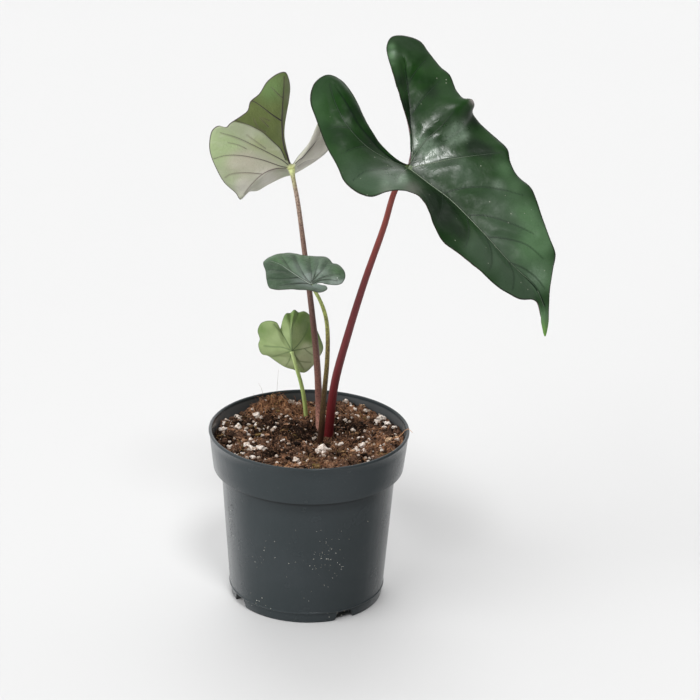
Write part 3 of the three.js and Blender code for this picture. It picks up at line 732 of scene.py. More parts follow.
fibre_draw = random.Random(33)
fibres = Lot(6, "tone")
for group in fibre_groups:
    for _ in range(group["count"]):
        x, y = (mid + fibre_draw.gauss(0, spread) for mid, spread in zip(group["middle"], group["spread"]))
        if math.hypot(x, y) > fibre_start_reach:
            continue
        heading = fibre_draw.uniform(0, 2 * math.pi)
        length = fibre_draw.uniform(*group["length"])
        rise = group["rise"] * fibre_draw.random() ** 2
        points = []
        for step in range(fibre_steps):
            if math.hypot(x, y) > fibre_reach:
                break
            points.append(on_soil(x, y, 0.3 + rise * math.sin(math.pi * step / fibre_steps)))
            heading += fibre_draw.gauss(0, fibre_wander)
            x += length / (fibre_steps - 1) * math.cos(heading)
            y += length / (fibre_steps - 1) * math.sin(heading)
        if len(points) > 3:
            verts = strand(fibres.tray, points, fibre_draw.uniform(*fibre_radii) * MM)
            fibres.shade(verts, max(0, fibre_draw.uniform(*group["tones"]) - 0.6 * darkening(x, y)))
            fibres.next_piece()
for x, y, height, lean in standing_hairs:
    bend = [(lean * part ** 2, height * part) for part in (0, 0.2, 0.4, 0.6, 0.8, 1)]
    hair = strand(fibres.tray, [on_soil(x + a, y, b) for a, b in bend], hair_radius * MM)
    fibres.shade(hair, 0.35)
over_rim = [axis + Vector((x, y, soil_middle + z)) * MM for x, y, z in rim_fibre]
fibres.shade(strand(fibres.tray, over_rim, rim_fibre_radius * MM, 6), 0.9)
settle(fibres.gathered(), "coir_fibres", [coir], None)


# The stalks: firm, juicy petioles that rise from the soil and each carry one blade.
# The large leaf's is red-maroon, the tall one's brown and speckled, the small one's olive,
# and the young one's a fresh light green.
stalk_rings = 80
stalk_sides = 20
stalk_flutes = 5
flute_depth = 0.02
flare_start = 0.96
flare_length = 0.04
route_steps = 400


def stalk_points(*points):
    return [axis + Vector(point) * MM for point in points]


def between(four, part):
    """The point at part of the way from the second to the third of four points, on a smooth curve."""
    times = [0.0]
    for one, two in zip(four, four[1:]):
        times.append(times[-1] + math.sqrt((two - one).length))
    t0, t1, t2, t3 = times
    t = t1 + part * (t2 - t1)
    a1 = four[0].lerp(four[1], (t - t0) / (t1 - t0))
    a2 = four[1].lerp(four[2], (t - t1) / (t2 - t1))
    a3 = four[2].lerp(four[3], (t - t2) / (t3 - t2))
    b1 = a1.lerp(a2, (t - t0) / (t2 - t0))
    b2 = a2.lerp(a3, (t - t1) / (t3 - t1))
    return b1.lerp(b2, part)


def on_route(points, place):
    """The point on an open smooth curve, at a place counted in its points."""
    ends = [2 * points[0] - points[1], *points, 2 * points[-1] - points[-2]]
    i = min(int(place), len(points) - 2)
    return between(ends[i:i + 4], place - i)


def even_route(points, count):
    """count + 1 points at even distances along an open smooth curve."""
    fine = [on_route(points, i * (len(points) - 1) / route_steps) for i in range(route_steps + 1)]
    reached = [0.0]
    for one, two in zip(fine, fine[1:]):
        reached.append(reached[-1] + (two - one).length)
    route = []
    i = 0
    for step in range(count + 1):
        goal = reached[-1] * step / count
        while i < route_steps - 1 and reached[i + 1] < goal:
            i += 1
        route.append(fine[i].lerp(fine[i + 1], (goal - reached[i]) / (reached[i + 1] - reached[i])))
    return route


def grown_stalk(points, foot_radius, tip_radius, flare):
    """A round stalk: wide at the foot, slim above, and flared where it meets its blade."""
    route = even_route(points, stalk_rings)
    bm = bmesh.new()
    side = bm.verts.layers.int.new("side")
    ring = bmesh.ops.create_circle(bm, cap_ends=True, segments=stalk_sides, radius=1)["verts"]
    for k, vert in enumerate(ring):
        vert[side] = k
    edges = list(bm.edges)
    heading = (route[1] - route[0]).to_track_quat("Z", "Y")
    for i, point in enumerate(route):
        along = i / stalk_rings
        if i:
            ring, edges = next_row(bm, edges)
            ahead = route[min(i + 1, stalk_rings)] - route[i - 1]
            heading = (heading @ Vector((0, 0, 1))).rotation_difference(ahead) @ heading
        radius = foot_radius + (tip_radius - foot_radius) * along ** 0.8
        radius *= 1 + flare * max(0, (along - flare_start) / flare_length) ** 2
        radius *= 1 + 0.012 * noise.noise(Vector((30 * along, foot_radius, 0)))
        for vert in ring:
            angle = 2 * math.pi * vert[side] / stalk_sides
            flute = 1 + flute_depth * math.cos(stalk_flutes * angle + 3 * along)
            vert.co = point + heading @ Vector((math.cos(angle), math.sin(angle), 0)) * radius * flute * MM
    bmesh.ops.edgeloop_fill(bm, edges=edges)
    bmesh.ops.recalc_face_normals(bm, faces=bm.faces)
    return bm


def stalk_finish(name, bands, speckle, speckle_amount, roughness):
    """bands are (height in mm, colour) from the soil upwards."""
    finish = Finish(name, roughness, 0.35)
    height = finish.along("Z")
    skin = bands[0][1]
    for (low, _), (high, colour) in zip(bands, bands[1:]):
        skin = finish.laid(skin, colour, height, low * MM, high * MM)
    streaks = finish.streaks((900, 900, 60), 4, 0.6)
    skin = finish.laid(skin, speckle, streaks, 0.4, 0.75, 0, 0.3)
    dots = finish.streaks((1300, 1300, 1100), 2, 0.6)
    plain_top = finish.fade(height, bands[-2][0] * MM, bands[-1][0] * MM, 1, 0.15)
    spotted = finish.product(finish.fade(dots, 0.48, 0.58, 0, speckle_amount), plain_top)
    skin = finish.blended(spotted, skin, speckle)
    finish.colour(skin)
    finish.roughened(finish.fade(streaks, 0.3, 0.7, roughness - 0.06, roughness + 0.08))
    finish.relief((finish.streaks((1200, 1200, 90), 3, 0.6), 0.00015), (dots, 0.00004))
    return finish


red_stalk = stalk_finish(
    "red_maroon_stalk",
    [
        (101, (0.11, 0.01, 0.012)), (135, (0.13, 0.013, 0.016)), (185, (0.16, 0.022, 0.025)),
        (250, (0.24, 0.048, 0.034)),
    ],
    (0.09, 0.014, 0.016), 0.5, 0.34,
)
brown_stalk = stalk_finish(
    "brown_speckled_stalk",
    [
        (101, (0.52, 0.26, 0.2)), (122, (0.22, 0.1, 0.078)), (165, (0.14, 0.068, 0.053)),
        (215, (0.25, 0.15, 0.115)), (250, (0.45, 0.34, 0.26)), (259, (0.5, 0.48, 0.26)),
        (264, (0.6, 0.66, 0.3)),
    ],
    (0.08, 0.035, 0.028), 0.7, 0.42,
)
olive_stalk = stalk_finish(
    "olive_speckled_stalk",
    [
        (103, (0.045, 0.02, 0.012)), (125, (0.085, 0.055, 0.022)), (165, (0.22, 0.18, 0.05)),
        (190, (0.38, 0.44, 0.11)), (205, (0.48, 0.58, 0.2)),
    ],
    (0.035, 0.016, 0.01), 0.8, 0.42,
)
green_stalk = stalk_finish(
    "light_green_stalk",
    [(101, (0.34, 0.4, 0.14)), (110, (0.42, 0.52, 0.17)), (125, (0.46, 0.6, 0.2)), (146, (0.56, 0.7, 0.3))],
    (0.24, 0.32, 0.1), 0.25, 0.4,
)

large_route = stalk_points(
    (10.6, 8.6, 78), (11.8, 7.9, 101), (14.6, 6.3, 133), (21.9, 3.9, 166), (31, 1, 201), (41.3, -2.2, 236),
    (46.8, -4, 258), (53.7, -6, 272.4),
)
tall_route = stalk_points(
    (7, 17.2, 78), (6, 16.6, 101), (4.6, 15.9, 130), (2.8, 15, 153), (-1.5, 13.7, 189), (-5.6, 12.4, 220),
    (-9.3, 11, 246), (-11.8, 10.2, 259), (-13, 10, 265.2),
)
small_route = stalk_points(
    (5.6, 4, 78), (7, -0.2, 101), (8.5, -5.2, 130), (10, -10.6, 154), (10, -15.5, 174), (8.6, -18.4, 186),
    (5.5, -21.2, 196), (2.2, -23.4, 203), (0, -25, 206.6),
)
young_route = stalk_points(
    (-1.6, 32.6, 80), (-2.6, 31.4, 101), (-4.1, 29.2, 115), (-6, 27.2, 125), (-8.6, 25.2, 135),
    (-11.5, 24, 146.1),
)
settle(grown_stalk(large_route, 3, 1.6, 0.25), "stalk_large", [red_stalk], "petiole_large")
settle(grown_stalk(tall_route, 2.6, 1.2, 0.7), "stalk_tall", [brown_stalk], "petiole_tall")
settle(grown_stalk(small_route, 2.1, 1, 0.2), "stalk_small", [olive_stalk], "petiole_small")
settle(grown_stalk(young_route, 1.5, 1.1, 0.2), "stalk_young", [green_stalk], "petiole_young")


# The blades: each leaf's thin, waxy, arrow-shaped sheet, with a midrib and a rib into each lobe.
# It is drawn as seen from the front and a little above, each point as millimetres
# right, up and towards the onlooker from the joint, where its stalk meets it.
view_tilt = math.radians(21.8)
right = Vector((1, 0, 0))
up = Vector((0, math.sin(view_tilt), math.cos(view_tilt)))
toward = Vector((0, -math.cos(view_tilt), math.sin(view_tilt)))
blade_thickness = 0.8 * MM
edge_taper = 0.45
taper_width = 4 * MM
swell_width = 26 * MM
blade_rows = 34
row_crowding = 1.25
wave_onset = 6
vein_step = 1.2
vein_sink = 0.3
vein_sides = 8
vein_tip = 0.35
smooth_rounds = 2
easing_rounds = 40


def from_joint(joint, point):
    a, b, c = point
    return joint + (right * a + up * b + toward * c) * MM


def as_drawn(leaf, spot):
    """A point's place in the drawing: right and up from the joint, in millimetres."""
    offset = (spot - leaf["joint"]) / MM
    return Vector((offset.dot(right), offset.dot(up), 0))


def closed_place(points, place):
    """The point on a closed smooth curve, at a place counted in its points."""
    count = len(points)
    i = int(place) % count
    return between([points[(i + k) % count] for k in (-1, 0, 1, 2)], place - int(place))


def margin_runs(leaf):
    """The margin, and its six runs, each with the rib beside it and whether it leads away from the joint."""
    parts = ["tip_to_left", "left_outer", "left_inner", "right_inner", "right_outer", "right_to_tip"]
    ribs = ["midrib", "left_rib", "left_rib", "right_rib", "right_rib", "midrib"]
    outward = [False, True, False, True, False, True]
    corners = ["tip", "left_shoulder", "left_lobe", "sinus", "right_lobe", "right_shoulder"]
    margin = []
    runs = []
    for part, rib, away, corner in zip(parts, ribs, outward, corners):
        start = len(margin)
        margin += [leaf[corner], *leaf[part]]
        runs.append({"rib": rib, "away": away, "start": start, "end": len(margin)})
    return [from_joint(leaf["joint"], point) for point in margin], runs


def calmed(points, reach):
    """The points, each moved to the middle of its neighbours, and less so towards the ends."""
    calm = []
    for k in range(len(points)):
        span = min(reach, k, len(points) - 1 - k)
        near = points[k - span:k + span + 1]
        calm.append(sum(near, Vector((0, 0, 0))) / len(near))
    return calm


def blade_sheet(leaf):
    """The blade as a sheet: each rib is extruded out to the margin beside it, row by row."""
    margin, runs = margin_runs(leaf)
    sheet = Lot(1, "station", "from_rib", "to_margin", "hump")
    for run in runs:
        bm = sheet.tray
        station, from_rib, to_margin, hump = bm.verts.layers.float.values()
        count = leaf["side_stations"] if run["rib"] == "midrib" else leaf["lobe_stations"]
        rib_points = [from_joint(leaf["joint"], point) for point in leaf[run["rib"]]]
        rib = even_route([leaf["joint"], *rib_points], count)
        feet = rib if run["away"] else rib[::-1]
        length = run["end"] - run["start"]
        rim = [closed_place(margin, run["start"] + length * k / count) for k in range(count + 1)]
        calm = calmed(rim, leaf["calm"])
        chain = [bm.verts.new(foot) for foot in feet]
        for k, vert in enumerate(chain):
            vert[station] = k
            vert[to_margin] = (rim[k] - feet[k]).length
        edges = [bm.edges.new(pair) for pair in zip(chain, chain[1:])]
        for row in range(1, blade_rows + 1):
            verts, edges = next_row(bm, edges)
            across = (row / blade_rows) ** row_crowding
            for vert in verts:
                k = round(vert[station])
                width = (rim[k] - feet[k]).length
                vert.co = feet[k].lerp(calm[k], across) + (rim[k] - calm[k]) * across ** wave_onset
                vert[from_rib] = width * across
                vert[to_margin] = width * (1 - across)
                vert[hump] = math.sin(math.pi * across) * min(1, width / swell_width)
        sheet.next_piece()
    bm = sheet.gathered()
    bmesh.ops.remove_doubles(bm, verts=bm.verts, dist=1e-5)
    bmesh.ops.recalc_face_normals(bm, faces=bm.faces)
    facing = sum(face.normal.dot(toward) for face in bm.faces)
    if (facing > 0) != (leaf["seen"] == "upper"):
        bmesh.ops.reverse_faces(bm, faces=bm.faces)
    return bm


def finely(path, step):
    """Points about step millimetres apart along a drawn line."""
    points = [Vector((a, b, 0)) for a, b in path]
    length = sum((two - one).length for one, two in zip(points, points[1:]))
    return even_route(points, max(6, round(length / step)))


def swollen(bm, leaf):
    """Swells the sheet between its veins, and keeps how near each point is to a vein and to the joint."""
    vein_spots = [spot for *_, path in leaf["veins"] for spot in finely(path, 0.4)]
    tree = kdtree.KDTree(len(vein_spots))
    for i, spot in enumerate(vein_spots):
        tree.insert(spot, i)
    tree.balance()
    near = bm.verts.layers.float.new("near_vein")
    reach = bm.verts.layers.float.new("from_joint")
    hump = bm.verts.layers.float["hump"]
    bm.normal_update()
    moves = []
    for vert in bm.verts:
        away = tree.find(as_drawn(leaf, vert.co))[2]
        vert[near] = away * MM
        vert[reach] = (vert.co - leaf["joint"]).length
        pillow = 1 - math.exp(-((away / leaf["hollow"]) ** 2))
        wrinkle = 0.3 * noise.noise(vert.co * 240) + 0.7 * noise.noise(vert.co * 75)
        rise = vert[hump] * (leaf["crown"] + leaf["quilt"] * pillow) + wrinkle * leaf["wrinkle"] * pillow
        moves.append((vert, vert.normal * rise * MM))
    for vert, move in moves:
        vert.co += move
    inner = [vert for vert in bm.verts if not vert.is_boundary]
    eased = []
    for vert in inner:
        place = as_drawn(leaf, vert.co)
        if any(math.hypot(place.x - a, place.y - b) < reach for a, b, reach in leaf["eased"]):
            eased.append(vert)
    for verts, rounds in ((inner, smooth_rounds), (eased, easing_rounds)):
        for _ in range(rounds):
            bmesh.ops.smooth_vert(
                bm, verts=verts, factor=0.5, use_axis_x=True, use_axis_y=True, use_axis_z=True
            )
    bm.normal_update()


def washed(bm, leaf):
    """Keeps, at each point, how strongly each wash of colour lies there, and the height over the fold."""
    places = [as_drawn(leaf, vert.co) for vert in bm.verts]
    for name, spots in leaf["washes"].items():
        layer = bm.verts.layers.float.new(name)
        for vert, place in zip(bm.verts, places):
            vert[layer] = min(1, sum(
                strength * math.exp(-((place.x - a) ** 2 + (place.y - b) ** 2) / reach ** 2)
                for a, b, reach, strength in spots
            ))
    layer = bm.verts.layers.float.new("over_fold")
    fold = sorted(leaf["fold"])
    for vert, place in zip(bm.verts, places):
        level = fold[0][1] if place.x < fold[0][0] else fold[-1][1]
        for (a0, b0), (a1, b1) in zip(fold, fold[1:]):
            if a0 <= place.x <= a1:
                level = b0 + (b1 - b0) * (place.x - a0) / (a1 - a0)
        vert[layer] = (place.y - level) * MM


def veined(bm, leaf, side):
    """Strands for the veins, partly sunk, on one side of the sheet: 1 towards the onlooker, -1 away."""
    tree = BVHTree.FromBMesh(bm)
    veins = Lot(1, "tone")
    for radius, start_tone, end_tone, path in leaf["veins"]:
        points = []
        for spot in finely(path, vein_step):
            start = leaf["joint"] + (right * spot.x + up * spot.y) * MM + toward * 0.2
            hit, normal, _, _ = tree.ray_cast(start, -toward)
            if hit is not None:
                outward = normal if normal.dot(toward) > 0 else -normal
                lift = blade_thickness / 2 - radius * vein_sink * MM
                points.append(hit + side * outward * lift)
        if len(points) < 4:
            continue
        verts = strand(veins.tray, points, radius * MM, vein_sides, vein_tip)
        for i in range(len(points)):
            tone = start_tone + (end_tone - start_tone) * i / (len(points) - 1)
            veins.shade(verts[vein_sides * i:vein_sides * (i + 1)], tone)
        veins.next_piece()
    return veins.gathered()


def make_leaf(name, leaf, finishes, front_vein, back_vein, node):
    """finishes are those of the upper side, the underside and the edge."""
    leaf["joint"] = axis + Vector(leaf["joint"]) * MM
    sheet = blade_sheet(leaf)
    swollen(sheet, leaf)
    washed(sheet, leaf)
    front = veined(sheet, leaf, 1)
    back = veined(sheet, leaf, -1)
    to_margin = sheet.verts.layers.float["to_margin"]
    full = [min(1, edge_taper + (1 - edge_taper) * vert[to_margin] / taper_width) for vert in sheet.verts]
    blade = settle(sheet, name, finishes, node)
    thickness_group = blade.vertex_groups.new(name="thickness")
    for i, weight in enumerate(full):
        thickness_group.add([i], weight, "REPLACE")
    body = blade.modifiers.new("thickness", "SOLIDIFY")
    body.thickness = blade_thickness
    body.offset = 0
    body.vertex_group = "thickness"
    body.material_offset = 1
    body.material_offset_rim = 2
    settle(front, name + "_front_veins", [front_vein], None)
    settle(back, name + "_back_veins", [back_vein], None)


def in_washes(finish, skin, clouds, *tints):
    """The colour skin, with each soft wash (name, amount, colour) laid over it in clouds."""
    for name, amount, tint in tints:
        skin = finish.laid(skin, tint, finish.product(name, clouds), 0, 0.9, 0, amount)
    return skin


def in_bands(finish, skin, *bands):
    """The colour skin, with bands (measure, full up to mm, gone at mm, amount, colour) laid over it."""
    for name, full, gone, amount, tint in bands:
        skin = finish.laid(skin, tint, name, full * MM, gone * MM, amount, 0)
    return skin


def vein_finish(name, dark, pale, roughness=0.45):
    finish = Finish(name, roughness)
    line = finish.laid(dark, pale, "tone", 0, 1)
    finish.colour(finish.laid(line, dark, finish.mottle(300), 0.5, 0.7, 0, 0.35))
    finish.relief((finish.mottle(1500), 0.0001))
    return finish


def edge_finish(name, dark, warm):
    finish = Finish(name, 0.6, 0.15)
    finish.colour(finish.laid(dark, warm, finish.mottle(60), 0.4, 0.6))
    finish.relief((finish.mottle(1500), 0.00005))
    return finish


# The large leaf: thick and glossy, dark green above, with its tip hanging down to the right.
# Its lobes stand up and back, its left side curls towards the front,
# and its ribs show above as fine lines, pale by the joint.
large_leaf = {
    "joint": (53.7, -6, 272.4),
    "seen": "upper",
    "midrib": [
        (13, -9.5, 2), (24, -17.5, 4), (42, -35, 8), (59.5, -53.5, 10), (74, -67, 9), (79.5, -76.5, 7),
    ],
    "left_rib": [(-9, 4, 4), (-21, 14, 9), (-30, 25.5, 11.5), (-37, 37, 10), (-42.5, 45, 6)],
    "right_rib": [(2, 13.5, -3), (0.5, 29.5, -8), (-0.5, 45, -13), (-2.5, 61, -19)],
    "tip": (80.5, -94, 1),
    "tip_to_left": [
        (78, -86.5, 4), (76, -76.5, 8), (72.5, -73.5, 13), (64.5, -73.5, 20), (56.5, -70, 25),
        (48, -64.5, 29), (40, -57.5, 31), (30, -50, 32), (20, -42.5, 33), (15, -34.5, 33), (11, -25, 34),
        (5.5, -18, 36),
    ],
    "left_shoulder": (-2.5, -15, 37),
    "left_outer": [
        (-11.5, -16, 38), (-20, -19, 38), (-28, -17, 36), (-35.5, -11, 32), (-40.5, -1, 27), (-47, 11, 19),
        (-52.5, 25, 11), (-56.5, 37.5, 5), (-54, 47.5, 2),
    ],
    "left_lobe": (-47, 52, 2),
    "left_inner": [
        (-39.5, 49.5, 0.5), (-33.5, 43, 2), (-30, 37, 4), (-24, 24.5, 5.5), (-17.5, 14.5, 5.5),
        (-7.5, 5.5, 3),
    ],
    "sinus": (0.5, 2.2, 1),
    "right_inner": [
        (1.5, 10.5, -2), (1, 21, -4), (-3.5, 35.5, -5), (-8, 49.5, -10), (-12, 63, -17), (-13.5, 72, -24),
    ],
    "right_lobe": (-10.5, 78, -28),
    "right_outer": [
        (-3, 79, -30), (6, 76.5, -30), (11.5, 69, -29), (18, 61, -25), (23.5, 56, -22), (27.5, 46.5, -17),
        (31, 42, -13), (36, 41, -8), (37.7, 38.5, -12), (37, 34, -19), (42, 28, -20),
    ],
    "right_shoulder": (51.5, 19.5, -17),
    "right_to_tip": [
        (57.5, 13, -13), (59, 6, -11), (63, -1.5, -11), (71, -9, -8), (74.5, -17, -4), (78, -27.5, -3),
        (82, -38, 0), (85.3, -47, 1), (84, -56, 1), (82.5, -66.5, 4), (82, -77, 6), (82, -86.5, 4),
    ],
    "veins": [
        (0.5, 1, 0.5, [(0, 0), (13, -9.5), (24, -17.5), (42, -35), (59.5, -53.5), (74, -67), (79, -77)]),
        (0.34, 1, 0.1, [(0, 0), (12.5, 3), (27, 6.5), (41, 9), (54, 11)]),
        (0.3, 0.7, 0.1, [(0, 0), (2.3, 7), (2.7, 16), (1.6, 28.5), (-0.8, 44.5), (-3, 58)]),
        (0.28, 0.7, 0, [(0, 0), (-13, 4.5), (-24.5, 11), (-35, 22), (-42, 35), (-45.5, 46)]),
        (0.24, 0.8, 0.2, [(0, 0), (4, 8.5), (10, 16.5), (18, 24.5), (26, 34.5)]),
        (0.2, 0.1, 0, [(-0.5, 28.5), (6, 38), (12.5, 46), (18, 52)]),
        (0.16, 0.1, 0, [(-2.5, 44.5), (1, 53), (6, 60.5), (9, 64)]),
        (0.2, 0.2, 0, [(19.5, -14.5), (29, -11.5), (41.5, -10), (55.5, -11.5), (66, -14)]),
        (0.2, 0.2, 0, [(33.5, -26.5), (44.5, -26.5), (59, -30.5), (72, -36)]),
        (0.18, 0.2, 0, [(45.5, -38.5), (56.5, -39.5), (68, -42.5), (78, -50)]),
        (0.16, 0.2, 0, [(57.5, -52.5), (65.5, -55.5), (73.5, -61), (79, -67)]),
        (0.16, 0.1, 0, [(19.5, -14.5), (19.5, -20.5), (17.5, -29), (16.5, -32)]),
        (0.16, 0.1, 0, [(33.5, -26.5), (34.5, -34.5), (33, -43.5), (31.5, -46)]),
        (0.16, 0.1, 0, [(44.5, -38), (47, -46.5), (47, -55.5), (46, -58)]),
        (0.16, 0.1, 0, [(57.5, -52), (60, -59.5), (60, -66), (59.5, -69)]),
        (0.16, 0.8, 0.6, [(0, 0), (-4.5, -5.5), (-7, -11)]),
        (0.18, 0.6, 0, [(0, 0), (-13, -2.5), (-24.5, -5), (-31, -10)]),
        (0.16, 0, 0, [(-24.5, 11), (-32, 8.5), (-38, 5)]),
        (0.16, 0, 0, [(-33.5, 20.5), (-40.5, 21), (-46, 19.5)]),
    ],
    "fold": [(0, 0), (13, -9.5), (24, -17.5), (42, -35), (59.5, -53.5), (74, -67), (79, -77)],
    "washes": {
        # painted light: brighter green where light shines through the blade, and a bright streak on the right
        # lobe
        "lit": [
            (-48, 46, 8, 0.15), (-55, 36, 7, 0.25), (-50, 24, 7, 0.2), (-10.5, 72, 2.5, 0.6),
            (-10.5, 66, 2, 0.6), (-10, 61, 2, 0.4), (-12, 66, 5, 0.4), (22, 46, 8, 0.2), (56, 1, 6, 0.8),
            (62, -8, 6, 0.4), (69, -25, 7, 0.8), (77, -38, 9, 1), (82, -60, 9, 0.9), (80, -85, 9, 1),
            (46, 12, 6, 0.2), (68, -46, 10, 0.6), (60, -20, 7, 0.3),
        ],
        # painted sheen: pale grey-green patches for the grey reflection on the lower blade and by the waist
        "grey": [
            (54, -17, 13, 0.7), (32, -3, 9, 0.9), (52, -40, 13, 0.8), (66, -60, 12, 0.9), (44, -50, 9, 0.9),
            (60, -66, 9, 0.9), (34, -44, 7, 0.4), (-28, -7, 9, 0.8), (-37, 2, 8, 0.3), (-20, -10, 9, 0.8),
            (72, -30, 10, 0.8), (-8, -9, 8, 1), (14, -2, 7, 0.5), (72, -62, 9, 1),
        ],
        # painted shade: darker patches where the blade turns away from the light
        "dim": [
            (-3, 36, 5, 1), (-1, 26, 4, 1), (-6, 50, 5, 0.7), (-30, 30, 8, 0.7), (-20, 14, 7, 0.7),
            (-40, 16, 6, 0.4), (22, -27, 9, 1), (14, -18, 7, 0.9), (30, -38, 6, 0.6), (13, 45, 5, 0.7),
            (38, 14, 6, 1), (46, 11, 5, 0.8), (9, 62, 4, 0.4), (20, 14, 3, 0.3), (39, 29, 4, 0.8),
            (35, 33, 4, 0.5),
        ],
        # painted highlight with a pink tint, on the curl at the right margin and by the waist
        "pink_painted_highlight": [(37, 40.5, 1.7, 1), (-12, -16, 4, 0.1), (2, -14, 5, 0.2)],
        "dull": [(-38, 35, 8, 1), (1, 57, 5, 1), (8, 50, 6, 0.8)],
        "sheen": [
            (8, 6, 8, 1), (12, 18, 9, 1), (24, 24, 8, 1), (31, 24, 5, 1), (19, 7, 7, 0.9), (28, 5, 5, 0.5),
            (53, -8, 5, 0.4), (-9, -5, 7, 0.8), (-19, -2, 6, 0.5), (-9, 66, 3, 0.5), (3, 26, 5, 0.5),
        ],
        # painted highlight: a pale streaky sheen by the joint, on the crest and near the tip
        "painted_highlight": [
            (28, 24, 5, 1), (31, 20, 4, 0.7), (24, 18, 5, 0.8), (6, 15, 6, 1), (13, 12, 5, 1),
            (12, 5, 6, 0.6), (22, 8, 4, 0.4), (-3, -8, 4, 0.8), (-13, -10, 4, 0.5), (52, -8, 4, 0.6),
            (-9.5, 68, 2, 0.8), (75, -60, 7, 0.7), (32, 5, 3, 0.4),
        ],
    },
    "calm": 13,
    "eased": [(19, 34, 14)],
    "side_stations": 120,
    "lobe_stations": 72,
    "crown": 1.2,
    "quilt": 0.9,
    "hollow": 3,
    "wrinkle": 0.8,
}

glossy_green = Finish("dark_glossy_leaf", 0.3)
patches = glossy_green.mottle(24, 3, 0.55, None, 0.6)
green = glossy_green.laid((0.008, 0.032, 0.006), (0.015, 0.05, 0.01), patches, 0.35, 0.65)
clouds = glossy_green.streaks((40, 40, 110))
# Painted light, sheen and shade: washes of brighter green, pale grey-green and darker green laid into the
# colour.
green = in_washes(
    glossy_green, green, glossy_green.fade(clouds, 0.3, 0.6, 0.8, 1),
    ("grey", 0.95, (0.047, 0.085, 0.046)), ("lit", 0.95, (0.085, 0.165, 0.077)),
    ("dim", 0.95, (0.005, 0.016, 0.005)),
)
# Painted highlight: a pale, streaky sheen laid into the colour.
streaky = glossy_green.fade(glossy_green.mottle(330, 4, 0.65, None, 0.8), 0.2, 0.75, 0.5, 1)
painted_highlight = glossy_green.product("painted_highlight", streaky)
green = glossy_green.laid(green, (0.24, 0.33, 0.24), painted_highlight, 0, 1, 0, 0.65)
# Painted shadow: a dark band beside each vein.
green = in_bands(glossy_green, green, ("near_vein", 0.15, 0.9, 0.5, (0.006, 0.02, 0.007)))
fine_net = glossy_green.cells(420, "DISTANCE_TO_EDGE")
green = glossy_green.laid(green, (0.006, 0.018, 0.007), fine_net, 0, 0.06, 0.15, 0)
# Painted shade in the groove along each rib; the dark line at the margin is the edge's own colour.
green = in_bands(
    glossy_green, green,
    ("from_rib", 0.4, 1.4, 0.8, (0.005, 0.016, 0.006)), ("to_margin", 0.3, 0.9, 0.8, (0.014, 0.016, 0.01)),
)
# Painted highlight with a pink tint, on the curl and by the waist.
green = glossy_green.blended("pink_painted_highlight", green, (0.46, 0.42, 0.4))
green = in_bands(glossy_green, green, ("from_joint", 1, 3.2, 0.9, (0.18, 0.27, 0.08)))
fallen_dust = glossy_green.fade(glossy_green.cells(150), 0.035, 0.07, 0.6, 0)
green = glossy_green.blended(fallen_dust, green, (0.4, 0.42, 0.33))
drip = glossy_green.fade(glossy_green.along("Z"), 184 * MM, 200 * MM, 0.9, 0)
glossy_green.colour(glossy_green.blended(drip, green, (0.14, 0.3, 0.05)))
waxing = glossy_green.fade("sheen", 0, 0.9, 0.4, 0.28)
glossy_green.roughened(
    glossy_green.product(waxing, glossy_green.fade(glossy_green.mottle(200, 4, 0.6), 0.35, 0.65, 0.85, 1.2))
)
glossy_green.glossed(glossy_green.product(
    glossy_green.fade("sheen", 0, 0.9, 0.22, 1),
    glossy_green.fade("dull", 0, 0.8, 1, 0.25),
))
near_joint = glossy_green.fade("from_joint", 20 * MM, 70 * MM, 1, 0.3)
crinkles = glossy_green.product(glossy_green.mottle(240, 2, 0.5, None, 0.8), near_joint)
glossy_green.relief((glossy_green.mottle(70, 2), 0.0004), (crinkles, 0.00022))

purple_under = Finish("purple_leaf_underside", 0.5, 0.4)
plum = purple_under.patchy(26, (0.2, 0.13, 0.135), (0.15, 0.15, 0.11))
plum = in_bands(purple_under, plum, ("near_vein", 0, 5, 0.6, (0.15, 0.06, 0.08)))
plum_net = purple_under.cells(420, "DISTANCE_TO_EDGE")
purple_under.colour(purple_under.laid(plum, (0.09, 0.04, 0.05), plum_net, 0, 0.07, 0.3, 0))
purple_under.unevenly_rough(200, 0.42, 0.6)
purple_under.relief((purple_under.mottle(80, 2), 0.0005), (purple_under.mottle(900, 4), 0.00015))

large_edge = edge_finish("dark_brown_leaf_edge", (0.012, 0.02, 0.01), (0.06, 0.035, 0.025))
pale_vein = vein_finish("fine_pale_vein", (0.007, 0.022, 0.009), (0.2, 0.26, 0.17), 0.35)
plum_vein = vein_finish("plum_vein", (0.13, 0.04, 0.06), (0.2, 0.08, 0.08))
make_leaf(
    "leaf_large", large_leaf, [glossy_green, purple_under, large_edge], pale_vein, plum_vein, "blade_large",
)


